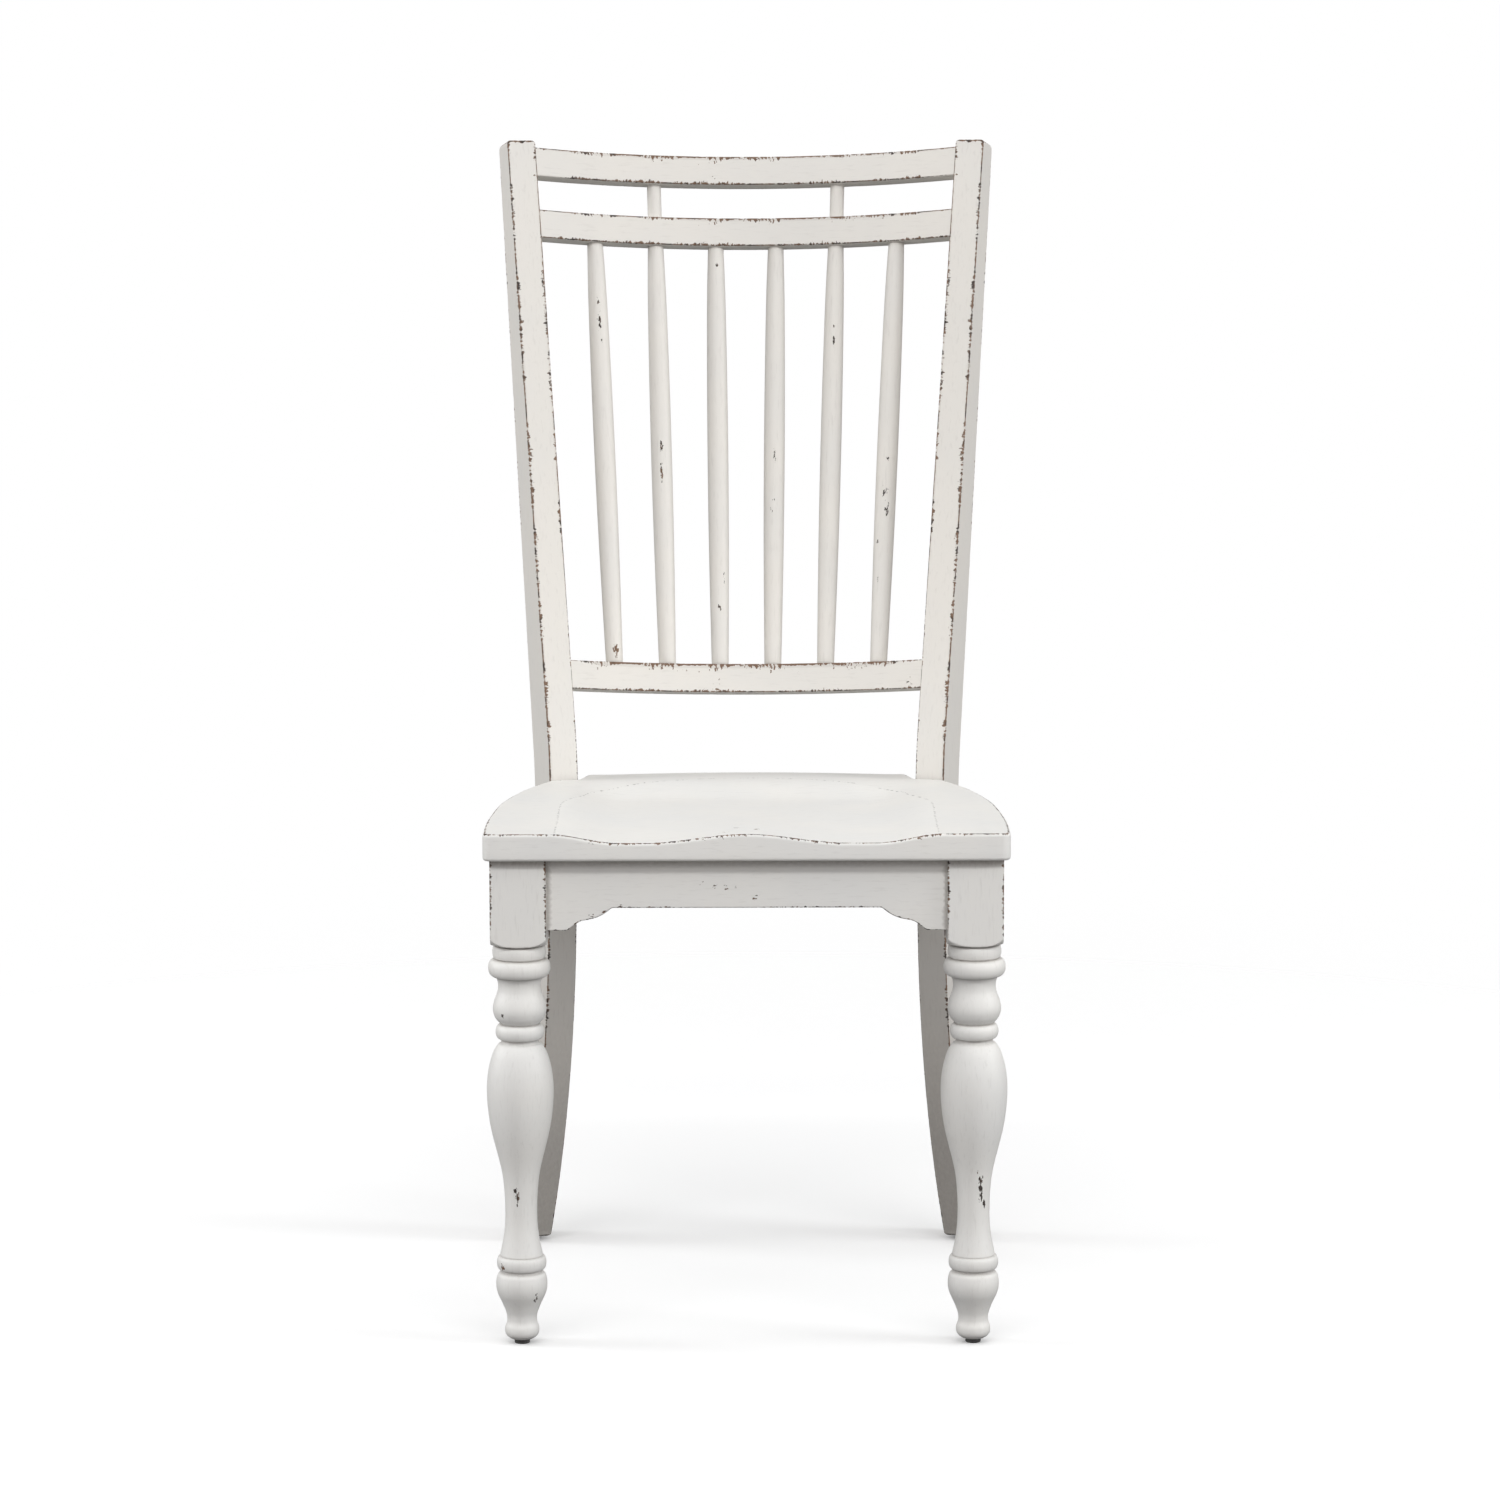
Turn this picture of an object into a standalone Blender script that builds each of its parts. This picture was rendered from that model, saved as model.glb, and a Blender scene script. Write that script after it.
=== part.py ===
"""Spindle back dining chair: a scooped seat on an apron frame, turned front legs and sawn back posts
that carry three curved rails and six spindles. Metres, +Z up, the sitter looks along -Y.
The origin is on the floor below the middle of the chair."""

import math

import bmesh
import bpy
from mathutils import Matrix, Vector

# Clearances and edge rounding
GAP = 0.0003
OVERRUN = 0.03
EASE = 0.0015
WELD = 0.00001

# Seat
SEAT_HEIGHT = 0.475
SEAT_THICKNESS = 0.0245
SEAT_PITCH = math.radians(1.2)
SEAT_HALF_WIDTH = 0.2365
SEAT_DEPTH = 0.435
SEAT_BACK_RADIUS = 0.583
SEAT_CORNER = 0.008
SEAT_LOWER_EDGE = 0.003
SEAT_SIDE_SHARES = ((1.0, 0.2), (0.979, 0.41), (0.953, 0.53), (0.9, 0.67), (0.85, 0.76))
SCOOP_DEPTH = 0.0095
SCOOP_FRONT_SHARE = 0.85
SCOOP_HALF_WIDTH = 0.1722
SCOOP_BACK = 0.375
SCOOP_WALL = 0.045
SCOOP_BACK_WALL = 0.09
POMMEL_HALF_WIDTH = 0.09
POMMEL_LENGTH = 0.22
SEAT_GRID_X = 30
SEAT_GRID_Y = 22

# Back posts: sawn boards whose front outer edge meets the seat at this place
POST_EDGE_X = 0.188
POST_EDGE_Y = 0.366
POST_THICKNESS = 0.0285
POST_TOE_IN = math.radians(20)
POST_LEAN = math.radians(1.1)
POST_TOP = 0.6045
POST_RAKE = math.radians(14.7)
POST_BACK_RAKE = math.radians(12.7)
POST_KNEE = 0.0086
POST_BACK_KNEE = -0.012
POST_KNEE_RADIUS = 0.3
POST_DEPTH = 0.0465
SWEEP_START = -0.148
SWEEP_RADIUS = 0.76
BACK_SWEEP_START = -0.1
BACK_SWEEP_RADIUS = 1.08
POST_END_RADIUS = 0.004

# Rails between the posts: rise of the lower edge over the seat's height, height of the rail, and sag in plan
RAIL_THICKNESS = 0.024
RAIL_SETBACK = 0.0015
RAIL_TENON_THICKNESS = 0.010
RAIL_TENON_SHOULDER = 0.004
RAIL_TENON_LENGTH = 0.016
CREST_RISE = 0.5618
CREST_HEIGHT = 0.0277
CREST_SAG = 0.046
NECK_RISE = 0.5031
NECK_HEIGHT = 0.0272
NECK_SAG = 0.046
LOWER_RISE = 0.0769
LOWER_HEIGHT = 0.0276
LOWER_SAG = 0.035
RAIL_STEPS = 18

# Spindles, counted from the left
SPINDLE_RADIUS = 0.0101
SPINDLE_TENON_RADIUS = 0.006
SPINDLE_TENON = 0.014
SPINDLE_SEAT_GAP = 0.00075
SPINDLE_NECK_RADIUS = 0.0068
SPINDLE_LOWER_PITCH = 0.0510
SPINDLE_UPPER_PITCH = 0.0587
SPINDLE_COUNT = 6
LONG_SPINDLES = (2, 5)
SPINDLE_SHARES = (
    (0.0, 0.81),
    (0.15, 0.9),
    (0.3, 0.97),
    (0.45, 1.0),
    (0.6, 0.995),
    (0.76, 0.95),
    (0.89, 0.88),
    (1.0, 0.75),
)
SPINDLE_SIDES = 16

# Front legs
LEG_X = 0.2055
LEG_BLOCK = 0.0506
BLOCK_SETBACK = 0.0105
BLOCK_DROP = 0.0975
BLOCK_SHOULDER = 0.010
TURNING_RADIUS = 0.0303
LEG_SIDES = 24
NECK_SHARE = 0.7
# Each bead: its upper and lower height, its radius, and the radius of the groove under it
BEAD_SHARES = (
    (0.995, 0.969, 0.795, 0.69),
    (0.959, 0.919, 0.93, 0.72),
)
URN_SHARES = (
    (0.919, 0.72),
    (0.901, 0.637),
    (0.877, 0.685),
    (0.851, 0.785),
    (0.836, 0.797),
    (0.821, 0.74),
    (0.803, 0.62),
)
COLLAR_SHARES = (0.802, 0.764, 0.71, 0.56)
COLLAR_GROOVE_SHARE = 0.755
BALUSTER_SHARES = (
    (0.754, 0.6),
    (0.735, 0.8),
    (0.7, 0.935),
    (0.641, 1.0),
    (0.572, 0.94),
    (0.502, 0.765),
    (0.433, 0.565),
    (0.363, 0.487),
    (0.32, 0.48),
    (0.267, 0.54),
    (0.219, 0.645),
)
ANKLE_SHARES = (0.2185, 0.183, 0.745, 0.63)
ANKLE_GROOVE_SHARE = 0.176
FOOT_SHARES = (
    (0.1755, 0.66),
    (0.165, 0.742),
    (0.147, 0.77),
    (0.128, 0.73),
    (0.109, 0.634),
    (0.084, 0.497),
    (0.064, 0.45),
    (0.048, 0.475),
    (0.034, 0.518),
    (0.021, 0.48),
    (0.0125, 0.36),
)

# Aprons
APRON_THICKNESS = 0.020
APRON_DROP = 0.0695
APRON_SETBACK = 0.0055
SCALLOP_INNER = 0.1198
SCALLOP_OUTER = 0.1626
SCALLOP_DROP = 0.0206
SCALLOP_SHARES = (
    (0.0, 0.0),
    (0.1, 0.12),
    (0.28, 0.35),
    (0.5, 0.51),
    (0.68, 0.59),
    (0.78, 0.69),
    (0.88, 0.83),
    (1.0, 1.0),
)
APRON_TENON_THICKNESS = 0.008
APRON_TENON_LENGTH = 0.013
APRON_TENON_LIP = 0.0065
APRON_TENON_HEIGHT = 0.026
REAR_APRON_DEPTH_SHARE = 0.56

# Corner blocks: near and far ends along the cross apron and along the side apron
BLOCK_LIP = 0.0065
FRONT_BLOCK_NEAR = (0.044, 0.050)
FRONT_BLOCK_FAR = (0.085, 0.085)
REAR_BLOCK_NEAR = (0.020, 0.030)
REAR_BLOCK_FAR = (0.060, 0.060)

# Screws
SCREW_RADIUS = 0.0018
SCREW_HEAD_RADIUS = 0.0040
SCREW_HEAD_RIM = 0.0008
SCREW_HEAD_TAPER = 0.0022
SCREW_POINT = 0.0025
SCREW_SIDES = 10
APRON_SCREW_LENGTH = 0.022
APRON_SCREW_STANDOFF = 0.010
APRON_SCREW_LIP = 0.0225
SEAT_SCREW_LENGTH = 0.040
SEAT_SCREW_RECESS = 0.004

# Glides
GLIDE_RADIUS = 0.0070
GLIDE_THICKNESS = 0.0035
GLIDE_EDGE = 0.0008
GLIDE_STEM_RADIUS = 0.0013
GLIDE_STEM = 0.016
GLIDE_SIDES = 20

WHITE_PAINT = (0.71, 0.69, 0.65, 1.0)
BARE_WOOD = (0.50, 0.35, 0.20, 1.0)
GREY_PLASTIC = (0.06, 0.06, 0.06, 1.0)
STEEL = (0.55, 0.55, 0.57, 1.0)

SIDES = ((-1, "left"), (1, "right"))
REACH = SEAT_HEIGHT
BLOCK_REAR = BLOCK_SETBACK + LEG_BLOCK
BLOCK_CORNER_HEIGHT = SEAT_HEIGHT - BLOCK_DROP
TURNING_HEIGHT = BLOCK_CORNER_HEIGHT - BLOCK_SHOULDER
APRON_BOTTOM = SEAT_HEIGHT - APRON_DROP
APRON_TENON_BOTTOM = APRON_BOTTOM + APRON_TENON_LIP
APRON_TENON_TOP = APRON_TENON_BOTTOM + APRON_TENON_HEIGHT
BLOCK_BOTTOM = APRON_BOTTOM + BLOCK_LIP
APRON_SCREW_HEIGHT = APRON_BOTTOM + APRON_SCREW_LIP
LEG_Y = BLOCK_SETBACK + LEG_BLOCK / 2
FOOT_BASE = GLIDE_THICKNESS + GAP


def clear_scene():
    for obj in list(bpy.data.objects):
        bpy.data.objects.remove(obj, do_unlink=True)


def new_collection(name):
    collection = bpy.data.collections.new(name)
    bpy.context.scene.collection.children.link(collection)
    return collection


def new_material(name, colour, roughness, metallic=0.0):
    material = bpy.data.materials.new(name)
    material.use_nodes = True
    shader = material.node_tree.nodes["Principled BSDF"]
    shader.inputs["Base Color"].default_value = colour
    shader.inputs["Roughness"].default_value = roughness
    shader.inputs["Metallic"].default_value = metallic
    material.diffuse_color = colour
    return material


def smooth(points, steps):
    """Points along a smooth curve through the given ones, with this many steps between neighbours."""
    padded = [points[0], *points, points[-1]]
    curve = []
    for before, start, end, after in zip(padded, padded[1:], padded[2:], padded[3:]):
        for step in range(steps):
            t = step / steps
            curve.append(
                tuple(
                    0.5 * (2 * b + (c - a) * t + (2 * a - 5 * b + 4 * c - d) * t**2 + (3 * b - a - 3 * c + d) * t**3)
                    for a, b, c, d in zip(before, start, end, after)
                )
            )
    curve.append(tuple(points[-1]))
    return curve


def span(start, end, steps):
    return [start + (end - start) * i / steps for i in range(steps + 1)]


def rounded(points, radius, corners, steps=3):
    """A closed outline whose named corners are rounded to this radius."""
    outline = []
    for i, point in enumerate(points):
        if i not in corners:
            outline.append(point)
            continue
        corner = Vector(point)
        before = (Vector(points[i - 1]) - corner).normalized()
        after = (Vector(points[(i + 1) % len(points)]) - corner).normalized()
        angle = before.angle(after)
        reach = radius / math.tan(angle / 2)
        centre = corner + (before + after).normalized() * radius / math.sin(angle / 2)
        start = corner + before * reach - centre
        end = corner + after * reach - centre
        for share in span(0.0, 1.0, steps):
            outline.append(tuple(centre + start.slerp(end, share) * radius))
    return outline


def frame_at(x_axis, y_axis, origin):
    """A placement whose X and Y follow the given directions."""
    z_axis = x_axis.cross(y_axis)
    columns = Matrix((x_axis, y_axis, z_axis)).transposed().to_4x4()
    return Matrix.Translation(origin) @ columns


def upright(origin):
    return Matrix.Translation(Vector(origin))


class Shop:
    """Holds the collections and materials, and makes each piece in them."""

    def __init__(self):
        clear_scene()
        self.parts = new_collection("spindle_back_chair")
        self.cutters = new_collection("cutters")
        self.paint = new_material("white_paint", WHITE_PAINT, 0.55)
        self.wood = new_material("bare_wood", BARE_WOOD, 0.7)
        self.plastic = new_material("grey_plastic", GREY_PLASTIC, 0.6)
        self.steel = new_material("steel", STEEL, 0.35, 1.0)
        self.root = bpy.data.objects.new("chair_origin", None)
        self.parts.objects.link(self.root)

    def place(self, name, data, matrix, material=None):
        obj = bpy.data.objects.new(name, data)
        obj.parent = self.root
        obj.matrix_local = matrix
        if material is None:
            self.cutters.objects.link(obj)
            obj.hide_render = True
            obj.display_type = "WIRE"
        else:
            self.parts.objects.link(obj)
            data.materials.append(material)
        return obj

    def plate(self, name, outline, thickness, matrix, material=None, ease=0.0):
        """A flat outline in the placement's XY plane, thickened both ways from it, as a mesh."""
        curve = bpy.data.curves.new(name, "CURVE")
        curve.dimensions = "2D"
        curve.fill_mode = "BOTH"
        curve.extrude = thickness / 2 - ease
        curve.bevel_depth = ease
        curve.bevel_resolution = 0
        curve.offset = -ease
        spline = curve.splines.new("POLY")
        spline.points.add(len(outline) - 1)
        spline.use_cyclic_u = True
        for point, (x, y) in zip(spline.points, outline):
            point.co = (x, y, 0.0, 1.0)
        drawn = bpy.data.objects.new(name + "_outline", curve)
        self.cutters.objects.link(drawn)
        bpy.context.view_layer.update()
        evaluated = drawn.evaluated_get(bpy.context.evaluated_depsgraph_get())
        mesh = bpy.data.meshes.new_from_object(evaluated)
        bpy.data.objects.remove(drawn)
        work = bmesh.new()
        work.from_mesh(mesh)
        bmesh.ops.remove_doubles(work, verts=work.verts, dist=WELD)
        bmesh.ops.recalc_face_normals(work, faces=work.faces)
        work.to_mesh(mesh)
        work.free()
        mesh.materials.clear()
        return self.place(name, mesh, matrix, material)

    def turned(self, name, profile, sides, matrix, material=None):
        """A profile of (radius, height) points, from the top down, turned about the placement's Z."""
        mesh = bpy.data.meshes.new(name)
        corners = [(radius, 0.0, height) for radius, height in profile]
        mesh.from_pydata(corners, [(i, i + 1) for i in range(len(corners) - 1)], [])
        obj = self.place(name, mesh, matrix, material)
        screw = obj.modifiers.new("turn", "SCREW")
        screw.steps = screw.render_steps = sides
        screw.use_merge_vertices = True
        screw.merge_threshold = WELD
        screw.use_smooth_shade = True
        return obj

    def box(self, name, low, high, matrix, material=None):
        """A box between two opposite corners, given in the placement's own axes."""
        low, high = Vector(low), Vector(high)
        size = high - low
        work = bmesh.new()
        bmesh.ops.create_cube(work, size=1.0)
        bmesh.ops.scale(work, vec=size, verts=work.verts)
        bmesh.ops.translate(work, vec=low + size / 2, verts=work.verts)
        mesh = bpy.data.meshes.new(name)
        work.to_mesh(mesh)
        work.free()
        return self.place(name, mesh, matrix, material)

    def rod(self, name, radius, low, high, sides, matrix):
        """A round cutter along the placement's Z."""
        profile = [(0.0, high), (radius, high), (radius, low), (0.0, low)]
        return self.turned(name, profile, sides, matrix)


def combine(obj, operation, *others):
    for other in others:
        modifier = obj.modifiers.new(other.name, "BOOLEAN")
        modifier.operation = operation
        modifier.object = other
    return obj


def cut(obj, *cutters):
    return combine(obj, "DIFFERENCE", *cutters)


def join(obj, *others):
    return combine(obj, "UNION", *others)


def mirrored(vector, side):
    return Vector((-side * vector.x, vector.y, vector.z))


def board_axes(side):
    """The post's inward, backward and upward directions. The left post's are turned, the right's mirrored."""
    turn = Matrix.Rotation(POST_TOE_IN, 3, "Z")
    inward = turn @ Vector((math.cos(POST_LEAN), 0.0, -math.sin(POST_LEAN)))
    back = turn @ Vector((0.0, 1.0, 0.0))
    up = turn @ Vector((math.sin(POST_LEAN), 0.0, math.cos(POST_LEAN)))
    return [mirrored(axis, side) for axis in (inward, back, up)]


def seat_top_at(y):
    return SEAT_HEIGHT - math.tan(SEAT_PITCH) * y


def post_point(side, inward, back, up):
    """A place on a post, counted from its front outer edge at the seat."""
    edge = Vector((side * POST_EDGE_X, POST_EDGE_Y, seat_top_at(POST_EDGE_Y)))
    axes = board_axes(side)
    return edge + axes[0] * inward + axes[1] * back + axes[2] * up


def edge_curve(up, knee, rake, sweep_start, sweep_radius):
    """How far back a long edge of the post lies at this height: raked above, plumb, then swept back."""
    bend_start = knee - POST_KNEE_RADIUS * math.tan(rake / 2)
    bend_end = bend_start + POST_KNEE_RADIUS * math.sin(rake)
    if up >= bend_end:
        return (up - knee) * math.tan(rake)
    if up >= bend_start:
        return POST_KNEE_RADIUS - math.sqrt(POST_KNEE_RADIUS**2 - (up - bend_start) ** 2)
    if up >= sweep_start:
        return 0.0
    return sweep_radius - math.sqrt(sweep_radius**2 - (sweep_start - up) ** 2)


def post_front(up):
    return edge_curve(up, POST_KNEE, POST_RAKE, SWEEP_START, SWEEP_RADIUS)


def post_back(up):
    return POST_DEPTH + edge_curve(up, POST_BACK_KNEE, POST_BACK_RAKE, BACK_SWEEP_START, BACK_SWEEP_RADIUS)


def edge_heights(knee, rake, sweep_start, bottom):
    """Heights that the edge's two round stretches need, from the top down."""
    bend_start = knee - POST_KNEE_RADIUS * math.tan(rake / 2)
    bend_end = bend_start + POST_KNEE_RADIUS * math.sin(rake)
    return span(bend_end, bend_start, 5) + span(sweep_start, bottom, 10)


def post_bottom():
    seat_end = seat_top_at(POST_EDGE_Y)
    return (FOOT_BASE - seat_end + math.sin(POST_LEAN) * POST_THICKNESS) / math.cos(POST_LEAN)


def post_top_back():
    """The upper end is sawn square to the front edge. This is its back corner."""
    start = post_front(POST_TOP)
    slope = math.tan(POST_BACK_RAKE)
    across = post_back(POST_TOP) - start
    length = across / (math.cos(POST_RAKE) + slope * math.sin(POST_RAKE))
    return start + length * math.cos(POST_RAKE), POST_TOP - length * math.sin(POST_RAKE)


def post_outline():
    bottom = post_bottom()
    front = [(post_front(up), up) for up in edge_heights(POST_KNEE, POST_RAKE, SWEEP_START, bottom)]
    back_heights = edge_heights(POST_BACK_KNEE, POST_BACK_RAKE, BACK_SWEEP_START, bottom)
    back = [(post_back(up), up) for up in reversed(back_heights)]
    points = [(post_front(POST_TOP), POST_TOP), *front, *back, post_top_back()]
    corners = {0, len(front), len(front) + 1, len(points) - 1}
    return rounded(points, POST_END_RADIUS, corners)


def board_frame(side, inward):
    """A placement whose XY plane is the post's side view, this far in from its outer face."""
    axes = board_axes(side)
    return frame_at(axes[1], axes[2], post_point(side, inward, 0.0, 0.0))


def chair_depth():
    """From the seat's front edge to the back of the crest rail, which bows out behind the posts."""
    crest = Rail(CREST_RISE, CREST_HEIGHT, CREST_SAG)
    return (crest.matrix @ Vector((0.0, CREST_SAG + RAIL_THICKNESS, CREST_HEIGHT))).y


class Rail:
    """Where a curved rail lies: X across, Y back and Z up the rake, from the middle of its lower edge."""

    def __init__(self, rise, height, sag):
        self.height = height
        self.sag = sag
        lower = self.edge_point(SEAT_HEIGHT + rise)
        upper = self.edge_point(SEAT_HEIGHT + rise + height)
        rise = Vector((0.0, upper.y - lower.y, upper.z - lower.z)).normalized()
        across = Vector((1.0, 0.0, 0.0))
        self.half_chord = lower.x
        self.radius = (self.half_chord**2 + sag**2) / (2 * sag)
        self.matrix = frame_at(across, rise.cross(across), Vector((0.0, lower.y, lower.z)))

    def edge_point(self, height):
        """The inner front edge of the right post at this height, set back to the rail's face."""
        drop = math.sin(POST_LEAN) * POST_THICKNESS
        up = (height - seat_top_at(POST_EDGE_Y) + drop) / math.cos(POST_LEAN)
        return post_point(1, POST_THICKNESS, post_front(up) + RAIL_SETBACK, up)

    def band(self, inner, outer, beyond):
        """The plan of the rail between two depths, run past the posts' faces by this much."""
        half_angle = math.asin(self.half_chord / self.radius) + beyond / self.radius
        angles = span(-half_angle, half_angle, RAIL_STEPS)
        centre = self.sag - self.radius
        near, far = self.radius + inner, self.radius + outer
        front = [(near * math.sin(a), centre + near * math.cos(a)) for a in angles]
        back = [(far * math.sin(a), centre + far * math.cos(a)) for a in reversed(angles)]
        return front + back

    def raised(self, height):
        return self.matrix @ upright((0.0, 0.0, height))

    def middle_at(self, x, height):
        """The middle of the rail's thickness at this place across, this far up it."""
        mid = self.radius + RAIL_THICKNESS / 2
        depth = self.sag - self.radius + math.sqrt(mid**2 - x**2)
        return self.matrix @ Vector((x, depth, height))


def make_rail(shop, name, rail, shoulders):
    """The rail with a tenon at each end, and the cutter for its mortises."""
    centred = rail.raised(rail.height / 2)
    bar = shop.plate(
        name, rail.band(0.0, RAIL_THICKNESS, OVERRUN / 2), rail.height, centred, shop.paint, EASE
    )
    inset = (RAIL_THICKNESS - RAIL_TENON_THICKNESS) / 2
    tenon_height = rail.height - 2 * RAIL_TENON_SHOULDER
    tenon = shop.plate(
        name + "_tenon",
        rail.band(inset, inset + RAIL_TENON_THICKNESS, RAIL_TENON_LENGTH),
        tenon_height,
        centred,
    )
    mortise = shop.plate(
        name + "_mortise",
        rail.band(inset - GAP, inset + RAIL_TENON_THICKNESS + GAP, RAIL_TENON_LENGTH + GAP),
        tenon_height + 2 * GAP,
        centred,
    )
    cut(bar, *shoulders)
    join(bar, tenon)
    return bar, mortise


def post_shoulder(shop, side, label):
    """Trims what runs between the posts along the inner face of one post."""
    frame = board_frame(side, POST_THICKNESS + GAP)
    across = 1.0 if side > 0 else -1.0
    outer = POST_THICKNESS + OVERRUN
    low = (-REACH, -2 * REACH, min(0.0, across * outer))
    high = (REACH, 2 * REACH, max(0.0, across * outer))
    return shop.box(f"shoulder_{label}", low, high, frame)


def spindle_axis(index, lower, neck):
    """The spindle's centre at the lower rail's top and at the neck rail's underside."""
    step = index - (SPINDLE_COUNT + 1) / 2
    start = lower.middle_at(step * SPINDLE_LOWER_PITCH, lower.height)
    end = neck.middle_at(step * SPINDLE_UPPER_PITCH, 0.0)
    return start, end


def spindle_frame(start, end):
    along = (end - start).normalized()
    side = Vector((0.0, 1.0, 0.0)).cross(along).normalized()
    return frame_at(side, along.cross(side), start)


def make_spindle(shop, index, lower, neck, crest):
    """One spindle, and the cutters for its holes in the lower, neck and crest rails."""
    start, end = spindle_axis(index, lower, neck)
    matrix = spindle_frame(start, end)
    length = (end - start).length
    exposed = length - 2 * SPINDLE_SEAT_GAP
    body = [
        (radius * SPINDLE_RADIUS, SPINDLE_SEAT_GAP + share * exposed)
        for share, radius in SPINDLE_SHARES
    ]
    body.reverse()
    name = f"spindle_{index}"
    top = length + SPINDLE_TENON
    head = [(0.0, top), (SPINDLE_TENON_RADIUS, top), (SPINDLE_TENON_RADIUS, body[0][1])]
    hole = SPINDLE_TENON_RADIUS + GAP
    crest_hole = None
    if index in LONG_SPINDLES:
        along = (end - start).normalized()
        crest_underside = crest.matrix @ Vector((0.0, 0.0, 0.0))
        crest_up = crest.matrix.to_3x3() @ Vector((0.0, 0.0, 1.0))
        reach = (crest_underside - start).dot(crest_up) / along.dot(crest_up)
        top = reach + SPINDLE_TENON
        neck_end = reach - SPINDLE_SEAT_GAP
        head = [
            (0.0, top),
            (SPINDLE_TENON_RADIUS, top),
            (SPINDLE_TENON_RADIUS, neck_end),
            (SPINDLE_NECK_RADIUS, neck_end),
            (SPINDLE_NECK_RADIUS, body[0][1]),
        ]
        crest_hole = shop.rod(name + "_crest_hole", hole, reach - OVERRUN / 2, top + GAP, SPINDLE_SIDES, matrix)
        neck_top = (neck.matrix @ Vector((0.0, 0.0, neck.height)) - start).dot(crest_up)
        neck_hole = shop.rod(
            name + "_neck_hole",
            SPINDLE_NECK_RADIUS + GAP,
            length - OVERRUN / 3,
            neck_top + OVERRUN / 3,
            SPINDLE_SIDES,
            matrix,
        )
    else:
        neck_hole = shop.rod(name + "_neck_hole", hole, length - OVERRUN / 2, top + GAP, SPINDLE_SIDES, matrix)
    tail = [
        (SPINDLE_TENON_RADIUS, SPINDLE_SEAT_GAP),
        (SPINDLE_TENON_RADIUS, -SPINDLE_TENON),
        (0.0, -SPINDLE_TENON),
    ]
    shop.turned(name, head + body + tail, SPINDLE_SIDES, matrix, shop.paint)
    lower_hole = shop.rod(
        name + "_lower_hole", hole, -SPINDLE_TENON - GAP, OVERRUN / 2, SPINDLE_SIDES, matrix
    )
    return lower_hole, neck_hole, crest_hole


def bead(top_share, bottom_share, radius_share, groove_share):
    """Half a round moulding between two heights, and the groove that it ends in."""
    top, bottom = top_share * TURNING_HEIGHT, bottom_share * TURNING_HEIGHT
    low = groove_share * TURNING_RADIUS
    rise = radius_share * TURNING_RADIUS - low
    middle, half = (top + bottom) / 2, (top - bottom) / 2
    return [
        (low + rise * math.sin(angle), middle + half * math.cos(angle))
        for angle in span(0.0, math.pi, 4)
    ]


def turned_stretch(shares, steps):
    return [
        (radius * TURNING_RADIUS, height * TURNING_HEIGHT) for height, radius in smooth(shares, steps)
    ]


def shoulder_curve():
    """The lathe's round cut into the block's lower corners."""
    neck = NECK_SHARE * TURNING_RADIUS
    corner = LEG_BLOCK / 2 * math.sqrt(2)
    drop = BLOCK_CORNER_HEIGHT - TURNING_HEIGHT
    return [
        (neck + (corner - neck) * math.sin(angle), TURNING_HEIGHT + drop * (1 - math.cos(angle)))
        for angle in span(math.pi / 2, 0.0, 5)
    ]


def leg_profile():
    """The front leg as it comes off the lathe, from above the block to the foot and its glide's hole."""
    top = SEAT_HEIGHT + OVERRUN
    profile = [(0.0, top), (LEG_BLOCK, top), (LEG_BLOCK, BLOCK_CORNER_HEIGHT), *shoulder_curve()]
    for shares in BEAD_SHARES:
        profile += bead(*shares)
    profile += turned_stretch(URN_SHARES, 1)[1:]
    profile += bead(*COLLAR_SHARES)
    profile.append((COLLAR_SHARES[3] * TURNING_RADIUS, COLLAR_GROOVE_SHARE * TURNING_HEIGHT))
    profile += turned_stretch(BALUSTER_SHARES, 1)
    profile += bead(*ANKLE_SHARES)
    profile.append((ANKLE_SHARES[3] * TURNING_RADIUS, ANKLE_GROOVE_SHARE * TURNING_HEIGHT))
    profile += turned_stretch(FOOT_SHARES, 1)
    end = FOOT_SHARES[-1][1] * TURNING_RADIUS
    hole, hole_top = GLIDE_STEM_RADIUS + GAP, GLIDE_THICKNESS + GLIDE_STEM + GAP
    profile += [(end, FOOT_BASE), (hole, FOOT_BASE), (hole, hole_top), (0.0, hole_top)]
    return profile


def make_front_leg(shop, side, label, under_seat):
    """A square block over a turned leg, in one piece."""
    centre = upright((side * LEG_X, LEG_Y, 0.0))
    leg = shop.turned(f"front_leg_{label}", leg_profile(), LEG_SIDES, centre, shop.paint)
    half = LEG_BLOCK / 2
    square = rounded([(-half, -half), (half, -half), (half, half), (-half, half)], EASE, range(4), 1)
    block = shop.plate(f"leg_block_{label}", square, 2 * SEAT_HEIGHT, centre)
    turning = shop.box(
        f"leg_turning_{label}", (-LEG_BLOCK, -LEG_BLOCK, -OVERRUN), (LEG_BLOCK, LEG_BLOCK, TURNING_HEIGHT), centre
    )
    join(block, turning)
    combine(leg, "INTERSECT", block)
    return cut(leg, under_seat)


def make_post(shop, side, label):
    """One sawn board: raked back post above the seat, swept leg below it."""
    matrix = board_frame(side, POST_THICKNESS / 2)
    return shop.plate(f"back_post_{label}", post_outline(), POST_THICKNESS, matrix, shop.paint, EASE)


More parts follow.
